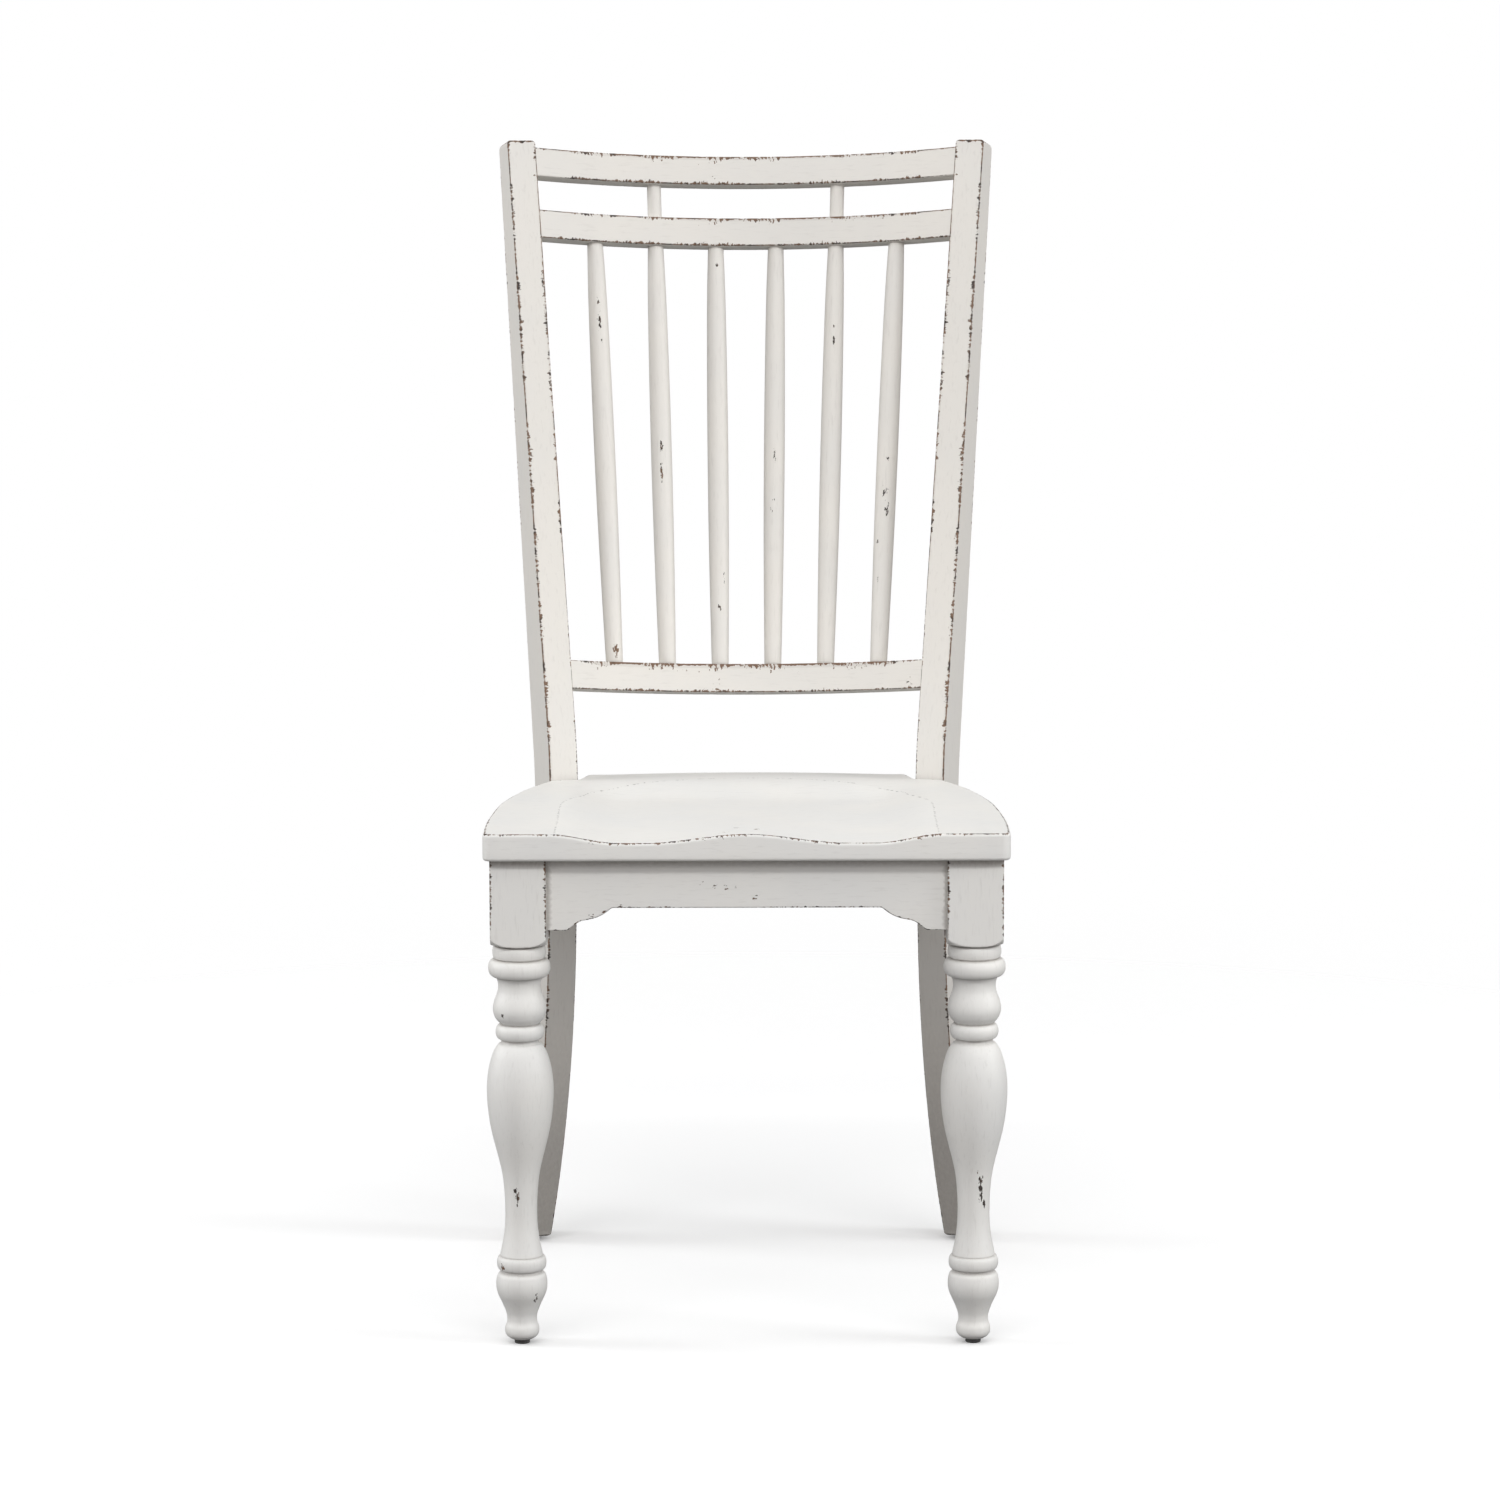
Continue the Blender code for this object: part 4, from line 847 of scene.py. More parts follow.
def make_front_leg(side, label, chips, material):
    skin = Skin()
    x, y = LEG_CENTRE
    centre = Vector((side * x, y, 0.0))
    half, corner = sizes().leg_block / 2, sizes().edge_radius
    angles = finer_angles(leg_angles(), chips, 0.6 * sizes().turning_radius)
    profile = finer_profile(leg_profile()[::-1], chips)[::-1]
    top = seat_top_at(y) - sizes().seat_thickness + MM
    block = span(top, BLOCK_CORNER_HEIGHT + MM, 34) + span(BLOCK_CORNER_HEIGHT, BLOCK_FOOT_HEIGHT, 20)
    rings = []

    def mark(height, radius, angle, edge, wear, groove):
        across, front = radius * math.sin(angle), -radius * math.cos(angle)
        chip = chip_at(chips, radius, angle, height)
        point = centre + Vector((across, front, height))
        back = nibble(point, wear, edge)
        point -= Vector((across, front, 0.0)).normalized() * back
        return skin.add(point, (height, across + side, front), edge, wear, chip, groove)

    for height in block:
        points = []
        for angle in angles:
            square = block_radius(angle, half, corner)
            shoulder = shoulder_radius(height) if height < BLOCK_CORNER_HEIGHT else FAR
            radius = min(square, shoulder)
            least = min(abs(radius * math.cos(angle)), abs(radius * math.sin(angle)))
            edge = FAR if shoulder < square else (half - least) / MM - 0.3
            # A thin darker line under the block's lip, dirt in the cut with painted shade under the lip, and
            # painted shade on the block just under the seat's edge.
            groove = 0.6 * bell((height - BLOCK_FOOT_HEIGHT) / MM, 1.5)
            groove = max(groove, 0.9 * painted_shade_under_seat(top - height, 7.0 * MM))
            share = ease((height - BLOCK_CORNER_HEIGHT) / (12 * MM))
            points.append(mark(height, radius, angle, max(edge, 0.0), 0.4 + 0.35 * share, groove))
        rings.append(points)
    for height, radius in profile:
        # The leg's grooves are painted darker: dirt in them, and painted shade in their creases.
        groove = max(darkening * bell((height - share * TURNING_HEIGHT) / MM, 0.95) for share, darkening in GROOVES)
        rings.append([mark(height, radius, angle, FAR, 0.0, groove) for angle in angles])
    skin.closed(rings, f"front_leg_skin_{label}", f"front_leg_{label}", material)


def make_glide(name, material):
    """A moulded disc with a rolled rim and a slight dish at its upper edge."""
    low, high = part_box(name)
    radius = (high.x - low.x) / 2
    centre = Vector(((low.x + high.x) / 2, (low.y + high.y) / 2 - front_edge_y(), 0.0))
    skin = Skin()
    matrix = Matrix.Translation(centre)
    thick = GLIDE_THICKNESS
    profile = [(0.0, radius * 0.2), (0.0, radius * 0.8)]
    profile += [(rise, radius - inset) for rise, inset, _ in quarter_round(GLIDE_RIM, 6)]
    profile += [(thick - fall, radius - inset) for inset, fall, _ in quarter_round(GLIDE_EDGE, 5)]
    profile += [(thick, radius * 0.6), (thick + MM, radius * 0.25)]
    angles = span(0.0, 2 * math.pi, 40)[:-1]
    rings = [round_ring(skin, matrix, reach, height, angles) for height, reach in profile]
    skin.closed(rings, f"{name}_skin", name, material, "grey_plastic")


def seat_back_at(x):
    return sizes().seat_depth - SEAT_BACK_RADIUS + math.sqrt(SEAT_BACK_RADIUS**2 - x**2)


def arc(centre, radius, start, end, steps):
    x, y = centre
    return [(x + radius * math.cos(angle), y + radius * math.sin(angle)) for angle in span(start, end, steps)]


def filleted(before, corner, after, radius, steps):
    """The round that takes the place of a corner."""
    corner = Vector(corner)
    one, two = (Vector(before) - corner).normalized(), (Vector(after) - corner).normalized()
    half = one.angle(two) / 2
    reach = radius / math.tan(half)
    centre = corner + (one + two).normalized() * radius / math.sin(half)
    start, end = corner + one * reach - centre, corner + two * reach - centre
    return [tuple(centre + start.slerp(end, share) * radius) for share in span(0.0, 1.0, steps)]


def line_between(start, end, steps):
    return [tuple(s + (e - s) * t for s, e in zip(start, end)) for t in span(0.0, 1.0, steps)]


def seat_outline():
    """The seat in plan, all the way round from the middle of its front edge."""
    width, depth = sizes().seat_half_width, sizes().seat_depth
    corner = SEAT_CORNER
    sides = [(width, corner)] + [(x * width, y * depth) for x, y in SEAT_SIDE_SHARES[1:]] + [POST_EDGE]
    inner = post_point(1, sizes().post_thickness, 0.0, 0.0)
    inner = (inner.x, inner.y - GAP)
    ear = (inner[0] - corner, seat_back_at(inner[0] - corner))
    half = line_between((0.0, 0.0), (width - corner, 0.0), 46)[:-1]
    half += arc((width - corner, corner), corner, -math.pi / 2, 0.0, 8)[:-1]
    half += smooth(sides, 12)[:-1]
    half += line_between(POST_EDGE, inner, 6)
    behind = (ear[0] - 20 * MM, seat_back_at(ear[0] - 20 * MM))
    turn = filleted(inner, ear, behind, corner, 8)
    half += line_between(inner, turn[0], 6)[1:-1] + turn
    half += [(x, seat_back_at(x)) for x in span(turn[-1][0], 0.0, 36)[1:]]
    return half + [(-x, y) for x, y in reversed(half[1:-1])]


def outline_normals(outline):
    normals = []
    for i, point in enumerate(outline):
        before, after = Vector(outline[i - 1]), Vector(outline[(i + 1) % len(outline)])
        here = Vector(point)
        one, two = (here - before).normalized(), (after - here).normalized()
        run = (one + two).normalized()
        widen = 1 / max(run.dot(one), 0.5)
        normals.append(Vector((run.y, -run.x)) * widen)
    return normals


def scoop_at(x, y):
    """How deep the seat is hollowed here: two thigh grooves at the front that run into one bowl."""
    side = ease((HOLLOW["half"] - abs(x)) / HOLLOW["wall"])
    back = ease((HOLLOW["back"] - y) / HOLLOW["back_wall"])
    ridge = ease(1 - abs(x) / RIDGE[0]) * ease(1 - y / RIDGE[1])
    deepening = HOLLOW["front"] + (1 - HOLLOW["front"]) * ease(y / RIDGE[1])
    return sizes().scoop_depth * side * back * deepening * (1 - ridge)


class HollowLine:
    """The faint line round the hollow, and how far any place lies from it."""

    def __init__(self):
        width, depth = sizes().seat_half_width, sizes().seat_depth
        half = [(x * width, y * depth) for x, y in smooth(HOLLOW_LINE_SHARES, 40)]
        line = [(-x, y) for x, y in half] + half[-2::-1]
        self.points = [Vector((x, y, 0.0)) for x, y in line]
        self.tree = tree_of(self.points)

    def distance(self, flat):
        """In millimetres, negative on the inner side."""
        here = Vector((flat.x, flat.y, 0.0))
        point, i, length = self.tree.find(here)
        run = self.points[min(i + 1, len(self.points) - 1)] - self.points[max(i - 1, 0)]
        away = here - point
        length = abs(run.x * away.y - run.y * away.x) / run.length
        length = max(length, math.sqrt(max(away.length_squared - length**2, 0.0)) - 3 * MM)
        return (length if run.x * away.y - run.y * away.x > 0 else -length) / MM


def seat_wear_at(x, y):
    """The front edge is rubbed more than the rest, and unevenly along its length."""
    if y > 12 * MM:
        return 0.45
    return 0.75 + 0.4 * max(noise.noise(Vector((x * 22.0, 3.1, 0.0))), 0.0)


def behind_hollow(x, y):
    """0 in front of the band behind the hollow, 1 at the seat's back edge."""
    start = HOLLOW["back"] + 12 * MM - 0.25 * x * x / HOLLOW["half"]
    return ease((y - start) / (45 * MM)) * ease((HOLLOW["half"] - abs(x)) / (50 * MM))


def make_seat(material):
    skin = Skin()
    outline = seat_outline()
    normals = outline_normals(outline)
    line = HollowLine()
    thick = sizes().seat_thickness
    top_round, low_round = SEAT_ROUNDS
    pitch = Matrix.Rotation(-sizes().seat_pitch, 4, "X")
    place = Matrix.Translation((0.0, 0.0, sizes().seat_height)) @ pitch
    centre = Vector(SEAT_MIDDLE)
    rings = []

    def ring(inward, shrink, height_of, edge):
        points = []
        for (x, y), normal in zip(outline, normals):
            flat = Vector((x, y)) - normal * inward
            flat = centre + (flat - centre) * shrink
            wear = seat_wear_at(x, y)
            drawn = line.distance(flat) if edge is not None and shrink < 1.0 else FAR
            reach = FAR if edge is None else edge + (1 - shrink) * (flat - centre).length / MM
            height = height_of(flat.x, flat.y)
            point = Vector((flat.x, flat.y, height))
            point.z -= nibble(point, wear, reach) * 0.6
            drop = max(top(flat.x, flat.y) - height, 0.0)
            chip = spot_at(SEAT_CHIPS, flat.x, flat.y, drop)
            # The band behind the hollow is painted darker towards the seat's back edge: painted shade.
            groove = 0.2 * behind_hollow(flat.x, flat.y) if drop < thick / 2 else 0.0
            points.append(skin.add(place @ point, (flat.x, flat.y, height), reach, wear, chip, groove, drawn))
        rings.append(points)

    def top(x, y):
        return -scoop_at(x, y) - SEAT_REAR_DROP * behind_hollow(x, y)

    for shrink in span(0.04, 1.0, 10):
        ring(low_round, shrink, lambda x, y: -thick, None)
    for rise, inward, _ in quarter_round(low_round, 6)[1:]:
        ring(inward, 1.0, lambda x, y: rise - thick, None)
    for share in (0.35, 0.7, 0.9):
        low = low_round - thick
        ring(0.0, 1.0, lambda x, y: (top(x, y) - top_round - low) * share + low, 6.0)
    for inward, fall, edge in quarter_round(top_round, 8, 70):
        ring(inward, 1.0, lambda x, y: top(x, y) - fall, edge)
    for shrink in (*SEAT_RIM_RINGS, *(1 - step / 60 for step in range(3, 59)), SEAT_LAST_RING):
        ring(top_round, shrink, top, 0.9)
    skin.closed(rings, "seat_skin", "seat", material)


def apron_outline(half, top):
    inner, outer, drop = SCALLOP
    scallop = [(inner + (outer - inner) * x, APRON_BOTTOM - drop * z) for x, z in smooth(SCALLOP_SHARES, 3)]
    right = line_between((0.0, APRON_BOTTOM), scallop[0], 20)[:-1] + scallop
    right += line_between(scallop[-1], (half, APRON_BOTTOM - drop), 4)[1:-1]
    right += line_between((half, APRON_BOTTOM - drop), (half, top), 12)[:-1]
    right += line_between((half, top), (0.0, top), 30)
    return right + [(-x, z) for x, z in reversed(right[1:-1])]


def make_front_apron(material):
    skin = Skin()
    x, y = LEG_CENTRE
    half = x - sizes().leg_block / 2 + 0.5 * MM
    face = y - sizes().leg_block / 2 + APRON_SETBACK
    top = seat_top_at(face) - sizes().seat_thickness
    outline = apron_outline(half, top)
    normals = outline_normals(outline)
    radius = APRON_EDGE
    rings = []

    def point_at(u, v, depth, edge, wear, groove):
        # The apron is painted darker just under the seat's edge: painted shade.
        groove = max(groove, 0.8 * painted_shade_under_seat(top - v, 7.2 * MM))
        return skin.add((u, face + depth, v), (u, v, depth), edge, wear, spot_at(APRON_CHIPS, u, v), groove)

    def ring(depth, inset, edge):
        points = []
        for (px, pz), normal in zip(outline, normals):
            at_end = abs(px) > half - 3 * MM
            groove = 0.7 if at_end and inset < 3 * MM else 0.0
            wear = 0.0 if at_end else 0.45
            u, v = px - normal.x * inset, pz - normal.y * inset
            points.append(point_at(u, v, depth, edge, wear, groove))
        rings.append(points)

    steps, corner = quarter_round(radius, 5), half_round(radius)
    for further in (1.2, 0.5):
        ring(0.0, radius + further * MM, corner + further)
    for depth, inset, edge in steps:
        ring(depth, inset, edge)
    for further in (0.6, 1.6, 4.0):
        ring(radius + further * MM, 0.0, corner + further)
    for further in (4.0, 1.6, 0.6):
        ring(APRON_THICKNESS - radius - further * MM, 0.0, corner + further)
    for depth, inset, edge in reversed(steps):
        ring(APRON_THICKNESS - depth, inset, edge)
    ring(APRON_THICKNESS, radius + 1.5 * MM, corner + 1.5)
    skin.tube(rings)
    for end, depth, start in ((rings[0], 0.0, True), (rings[-1], APRON_THICKNESS, False)):
        flat = [(skin.points[i][0], skin.points[i][2]) for i in end]
        skin.even_cap(end, flat, 3.0 * MM, start, lambda u, v: point_at(u, v, depth, 6.0, 0.45, 0.0))
    skin.object("apron_front_skin", ["apron_front"], material)


def make_straight_apron(name, start, end, material):
    """A plain board between two points on its centre line, in plan."""
    skin = Skin()
    start, end = Vector(start), Vector(end)
    run = (end - start).normalized()
    aside = Vector((run.y, -run.x))
    length = (end - start).length
    rings = []
    for along in span(0.0, length, 60):
        points = []
        centre = start + run * along
        height = seat_top_at(centre.y) - sizes().seat_thickness - APRON_BOTTOM
        for up, through, edge, corner, away in section(height, APRON_THICKNESS, sizes().edge_radius):
            flat = centre + aside * (through - APRON_THICKNESS / 2)
            wear = 0.5 if corner in (0, 3) else 0.0
            point = (flat.x, flat.y, APRON_BOTTOM + up)
            points.append(skin.add(point, (along, up, through), edge, wear))
        rings.append(points)
    skin.closed(rings, f"{name}_skin", name, material)


class Nodes:
    """Adds nodes to a tree. A value is a number, a colour or another node's socket."""

    def __init__(self, tree):
        self.tree = tree

    def node(self, kind, **settings):
        node = self.tree.nodes.new("ShaderNode" + kind)
        for name, value in settings.items():
            setattr(node, name, value)
        return node

    def feed(self, socket, value):
        if isinstance(value, bpy.types.NodeSocket):
            self.tree.links.new(value, socket)
        else:
            socket.default_value = value

    def wired(self, kind, values, output, **settings):
        """A new node's output. values maps its inputs to what goes in."""
        node = self.node(kind, **settings)
        for name, value in values.items():
            self.feed(node.inputs[name], value)
        return node.outputs[output]

    def stretched(self, vector, scale):
        return self.wired("VectorMath", {0: vector, 1: scale}, 0, operation="MULTIPLY")

    def noise(self, vector, scale, detail=2.0, roughness=0.5):
        values = {"Vector": vector, "Scale": scale, "Detail": detail, "Roughness": roughness}
        return self.wired("TexNoise", values, "Fac")

    def sum(self, kind, first, second=0.0, third=None, clamp=False):
        values = {i: value for i, value in enumerate((first, second, third)) if value is not None}
        return self.wired("Math", values, 0, operation=kind, use_clamp=clamp)

    def times(self, first, second, clamp=False):
        return self.sum("MULTIPLY", first, second, clamp=clamp)

    def scaled(self, value, factor, shift):
        return self.sum("MULTIPLY_ADD", value, factor, shift)

    def less(self, first, second):
        return self.sum("SUBTRACT", first, second)

    def step(self, value, low, high):
        """0 below low, 1 above high, and a smooth rise between."""
        return self.change(value, low, high, 0.0, 1.0)

    def change(self, value, low, high, start, end):
        """Goes smoothly from start to end while value goes from low to high."""
        values = {"Value": value, "From Min": low, "From Max": high, "To Min": start, "To Max": end}
        return self.wired("MapRange", values, "Result", interpolation_type="SMOOTHSTEP")

    def mix(self, share, first, second):
        first, second = ((*value, 1.0) if isinstance(value, tuple) else value for value in (first, second))
        return self.wired("Mix", {"Factor": share, 6: first, 7: second}, 2, data_type="RGBA")


class Recipe(Nodes):
    """Builds one material's nodes."""

    def __init__(self, name, colour, roughness, metallic=0.0):
        self.material = bpy.data.materials.new(name)
        self.material.use_nodes = True
        self.material.diffuse_color = (*colour, 1.0)
        super().__init__(self.material.node_tree)
        self.shader = self.tree.nodes["Principled BSDF"]
        self.shader.inputs["Base Color"].default_value = (*colour, 1.0)
        self.shader.inputs["Roughness"].default_value = roughness
        self.shader.inputs["Metallic"].default_value = metallic

    def mark(self, name):
        return self.wired("Attribute", {}, "Fac", attribute_name=name)

    def grain(self):
        return self.wired("Attribute", {}, "Vector", attribute_name="grain")

    def place(self):
        return self.wired("TexCoord", {}, "Object")

    def done(self, colour, roughness, height, strength):
        """height is the relief in millimetres."""
        values = {"Strength": strength, "Distance": MM, "Height": height}
        normal = self.wired("Bump", values, "Normal")
        for name, value in (("Base Color", colour), ("Roughness", roughness), ("Normal", normal)):
            self.feed(self.shader.inputs[name], value)
        return self.material


def tinted(colour, factor):
    return tuple(value * factor for value in colour)


def made_once(name, make, colour):
    """The material with this name, made the first time that it is asked for."""
    return bpy.data.materials.get(name) or make(name, tuple(colour))


def frame_paint():
    return made_once("worn_frame_paint", worn_paint, finish().paint)


# The lighter copy of the paint, with painted light in it, for the seat, its aprons and the front legs
def seat_paint():
    return made_once("worn_seat_paint", worn_paint, finish().seat_paint)


def worn_paint(name, paint):
    """Brushed off-white paint that has chipped along the edges to brown wood, dirty in the grooves and
    joints, with painted shade under the seat's edge, behind the seat's hollow, in the leg's creases and down
    the back posts.
    """
    look = finish()
    worn, stained, glaze_and_shade = (tuple(colour) for colour in (look.worn, look.stained, look.glaze_and_shade))
    recipe = Recipe(name, paint, 0.5)
    grain = recipe.grain()
    stretched = recipe.stretched(grain, (0.45, 1.0, 1.0))
    short = recipe.stretched(grain, (0.85, 0.4, 0.4))

    # Bare wood along the edges, in long patches with a flaked rim
    patches = recipe.step(recipe.noise(stretched, 48.0, 2.0), 0.4, 0.56)
    ragged = recipe.noise(stretched, 420.0, 3.0, 0.65)
    flakes = recipe.scaled(recipe.noise(short, 420.0, 3.0, 0.65), 8.3, -4.15)
    spread = recipe.scaled(flakes, 0.16, 0.8)
    spread = recipe.scaled(patches, recipe.scaled(flakes, 1.7, 0.3), spread)
    width = recipe.times(recipe.times(recipe.mark("wear"), spread), look.wear)
    bare_edge = recipe.step(recipe.less(width, recipe.mark("edge")), 0.02, 0.2)

    # Chips inside the faces
    fine = recipe.noise(stretched, 560.0, 2.0, 0.6)
    chance = recipe.scaled(recipe.mark("chips"), 0.24, fine)
    bare_spot = recipe.times(recipe.step(chance, 0.70, 0.73), recipe.step(recipe.mark("chips"), 0.1, 0.25))
    bare = recipe.sum("MAXIMUM", bare_edge, bare_spot)

    # The broken line round the seat's hollow
    line_width = recipe.scaled(recipe.noise(grain, 250.0, 1.0), 6.5, -3.15)
    drawn = recipe.less(line_width, recipe.sum("ABSOLUTE", recipe.mark("line")))
    drawn = recipe.step(drawn, 0.0, 0.25)

    # The coat: clouds, brush strokes, dirt in the grooves and joints with painted shade under the seat's
    # edge, behind the seat's hollow, in the leg's creases and down the back posts, and a browner rim round
    # the bare wood
    clouds = recipe.noise(grain, 9.0, 3.0)
    strokes = recipe.noise(recipe.stretched(grain, (0.13, 1.0, 1.0)), 420.0, 3.0, 0.65)
    warmer = (paint[0] * 1.01, paint[1], paint[2] * 0.985)
    tone = recipe.mix(recipe.step(clouds, 0.3, 0.7), tinted(paint, 0.972), warmer)
    tone = recipe.mix(recipe.times(recipe.step(strokes, 0.52, 0.75), 0.10), tone, glaze_and_shade)
    darkening = recipe.times(recipe.mark("groove"), recipe.scaled(ragged, 0.6, 0.5))
    tone = recipe.mix(recipe.times(darkening, 0.95, clamp=True), tone, glaze_and_shade)
    outer = recipe.step(recipe.mark("line"), -2.0, 2.0)
    tone = recipe.mix(recipe.times(outer, 0.03), tone, glaze_and_shade)
    near = recipe.less(recipe.times(recipe.mark("wear"), 2.2), recipe.mark("edge"))
    near = recipe.step(near, 0.0, 1.6)
    tone = recipe.mix(recipe.times(near, 0.14), tone, worn)
    tone = recipe.mix(recipe.times(drawn, 0.5), tone, stained)

    # The wood under it, lighter where it is rubbed most
    rubbed = recipe.scaled(recipe.mark("wear"), 0.14, recipe.noise(stretched, 160.0, 2.0))
    brown = recipe.mix(recipe.step(rubbed, 0.5, 0.7), stained, worn)
    colour = recipe.mix(bare, tone, brown)

    # The coat stands above the wood
    height = recipe.scaled(strokes, 0.10, recipe.times(recipe.less(1.0, bare), 0.22))
    height = recipe.scaled(ragged, 0.03, height)
    height = recipe.less(height, recipe.times(drawn, 0.05))
    roughness = recipe.scaled(bare, 0.25, recipe.scaled(ragged, 0.12, 0.42))
    return recipe.done(colour, roughness, height, 0.8)


def bare_wood(name, wood):
    recipe = Recipe(name, wood, 0.75)
    place = recipe.stretched(recipe.place(), (1.0, 1.0, 0.08))
    rings = recipe.noise(place, 60.0, 4.0, 0.6)
    pores = recipe.noise(place, 520.0, 2.0)
    colour = recipe.mix(recipe.step(rings, 0.35, 0.65), tinted(wood, 0.72), tinted(wood, 1.08))
    colour = recipe.mix(recipe.times(recipe.step(pores, 0.58, 0.7), 0.5), colour, tinted(wood, 0.4))
    saw = recipe.noise(recipe.stretched(recipe.place(), (1.0, 1.0, 9.0)), 55.0, 2.0)
    height = recipe.scaled(saw, 0.2, recipe.times(pores, 0.12))
    roughness = recipe.scaled(rings, 0.15, 0.66)
    return recipe.done(colour, roughness, height, 0.7)


def moulded_plastic(name, grey):
    recipe = Recipe(name, grey, 0.55)
    fine = recipe.noise(recipe.place(), 1400.0, 2.0)
    scuffs = recipe.noise(recipe.stretched(recipe.place(), (1.0, 1.0, 3.0)), 220.0, 3.0)
    colour = recipe.mix(recipe.step(scuffs, 0.5, 0.75), grey, tinted(grey, 1.9))
    roughness = recipe.scaled(scuffs, 0.35, 0.38)
    return recipe.done(colour, roughness, fine, 0.1)


def screw_steel(name, steel):
    recipe = Recipe(name, steel, 0.35, 1.0)
    spots = recipe.noise(recipe.place(), 300.0, 3.0)
    turning = recipe.noise(recipe.stretched(recipe.place(), (1.0, 1.0, 6.0)), 700.0, 2.0)
    colour = recipe.mix(recipe.step(spots, 0.5, 0.75), steel, tinted(steel, 0.6))
    roughness = recipe.scaled(spots, 0.3, 0.2)
    return recipe.done(colour, roughness, turning, 0.05)


# Half the floor's width, and how far from the chair it begins and ends to fade
FLOOR_REACH = 14.0
FLOOR_FADE = (0.6, 2.2)
# Heights on the sky, from 0 at the horizon to 1 overhead: where the bright belt begins and ends, and where
# the walls give way to the ceiling
BELT_START = (0.29, 0.41)
BELT_END = (0.64, 0.78)
CEILING = (0.87, 0.94)
# The camera's place from the seat's front edge, its lens and how it is turned
CAMERA_PLACE = (0.0032, -5.0, 1.3)
CAMERA_LENS = 136.126
CAMERA_PITCH, CAMERA_ROLL = math.radians(8.5174), math.radians(0.1155)
# The long lamp over the front and the two side lamps: place, size across and up
FRONT_LAMP = ((0.0, -3.447, 3.343), (7.0, 0.45))
SIDE_LAMPS = {"left": (-4.37, 0.15, 1.97), "right": (4.23, -1.13, 1.97)}
SIDE_LAMP_SIZE = (1.4, 1.4)
SIDE_LAMP_TINT = (0.96, 0.985, 1.0)
LAMP_TARGET = (0.0, 0.0, 0.5)


def make_floor():
    """Pale to the camera and darker to the chair. It fades out far from the chair, and from below."""
    mesh = bpy.data.meshes.new("floor")
    corners = ((-1, -1), (1, -1), (1, 1), (-1, 1))
    mesh.from_pydata([(x * FLOOR_REACH, y * FLOOR_REACH, 0.0) for x, y in corners], [], [(0, 1, 2, 3)])
    floor = linked("floor", mesh)
    studio = bpy.context.scene.chair_studio
    pale = tuple(studio.floor)
    recipe = Recipe("pale_floor", pale, 0.9)
    recipe.tree.nodes.remove(recipe.shader)
    seen = recipe.wired("LightPath", {}, "Is Camera Ray")
    grit = recipe.noise(recipe.place(), 40.0, 4.0)
    shade = recipe.mix(recipe.times(grit, 0.05), pale, tinted(pale, 0.9))
    colour = recipe.mix(seen, (studio.bounce,) * 3, shade)
    diffuse = recipe.wired("BsdfDiffuse", {"Color": colour}, 0)
    glow = recipe.wired("Emission", {"Strength": recipe.times(seen, studio.lift)}, 0)
    lit = recipe.wired("AddShader", {0: diffuse, 1: glow}, 0)
    clear = recipe.wired("BsdfTransparent", {}, 0)
    reach_out = recipe.wired("VectorMath", {0: recipe.place()}, "Value", operation="LENGTH")
    below = recipe.wired("NewGeometry", {}, "Backfacing")
    fade = recipe.times(recipe.sum("MAXIMUM", recipe.step(reach_out, *FLOOR_FADE), below), seen)
    surface = recipe.wired("MixShader", {0: fade, 1: lit, 2: clear}, 0)
    recipe.feed(recipe.tree.nodes["Material Output"].inputs["Surface"], surface)
    mesh.materials.append(recipe.material)
    floor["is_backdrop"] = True


def make_sky():
    """White to the camera. To the chair, pale walls with a brighter belt of soft light above them."""
    studio = bpy.context.scene.chair_studio
    world = bpy.data.worlds.new("studio")
    bpy.context.scene.world = world
    world.use_nodes = True
    sky = Nodes(world.node_tree)
    split = sky.node("SeparateXYZ")
    sky.feed(split.inputs[0], sky.wired("TexCoord", {}, "Generated"))
    back, up = split.outputs["Y"], split.outputs["Z"]
    low = sky.change(back, -0.1, 0.45, studio.low, studio.low * 0.5)
    walls = sky.change(up, *BELT_START, low, studio.belt)
    walls = sky.times(walls, sky.change(up, *BELT_END, 1.0, studio.high / studio.belt))
    walls = sky.times(walls, sky.change(up, *CEILING, 1.0, 0.95))
    path = sky.node("LightPath")
    seen = sky.sum("MAXIMUM", path.outputs["Is Camera Ray"], path.outputs["Is Transmission Ray"])
    strength = sky.wired("Mix", {"Factor": seen, "A": walls, "B": 1.0}, "Result")
    plain = sky.sum("MAXIMUM", seen, sky.step(up, *BELT_START))
    background = sky.tree.nodes["Background"]
    sky.feed(background.inputs["Strength"], strength)
    sky.feed(background.inputs["Color"], sky.mix(plain, tuple(studio.tint), (1.0, 1.0, 1.0)))


def make_lamp(name, place, size, power, colour=(1.0, 1.0, 1.0)):
    """A soft box that points at the middle of the chair."""
    data = bpy.data.lights.new(name, "AREA")
    data.shape = "RECTANGLE"
    data.size, data.size_y = size
    data.energy = power
    data.color = colour
    lamp = linked(name, data)
    lamp.location = place
    lamp.visible_camera = False
    lamp.rotation_euler = (Vector(LAMP_TARGET) - Vector(place)).to_track_quat("-Z", "Y").to_euler()


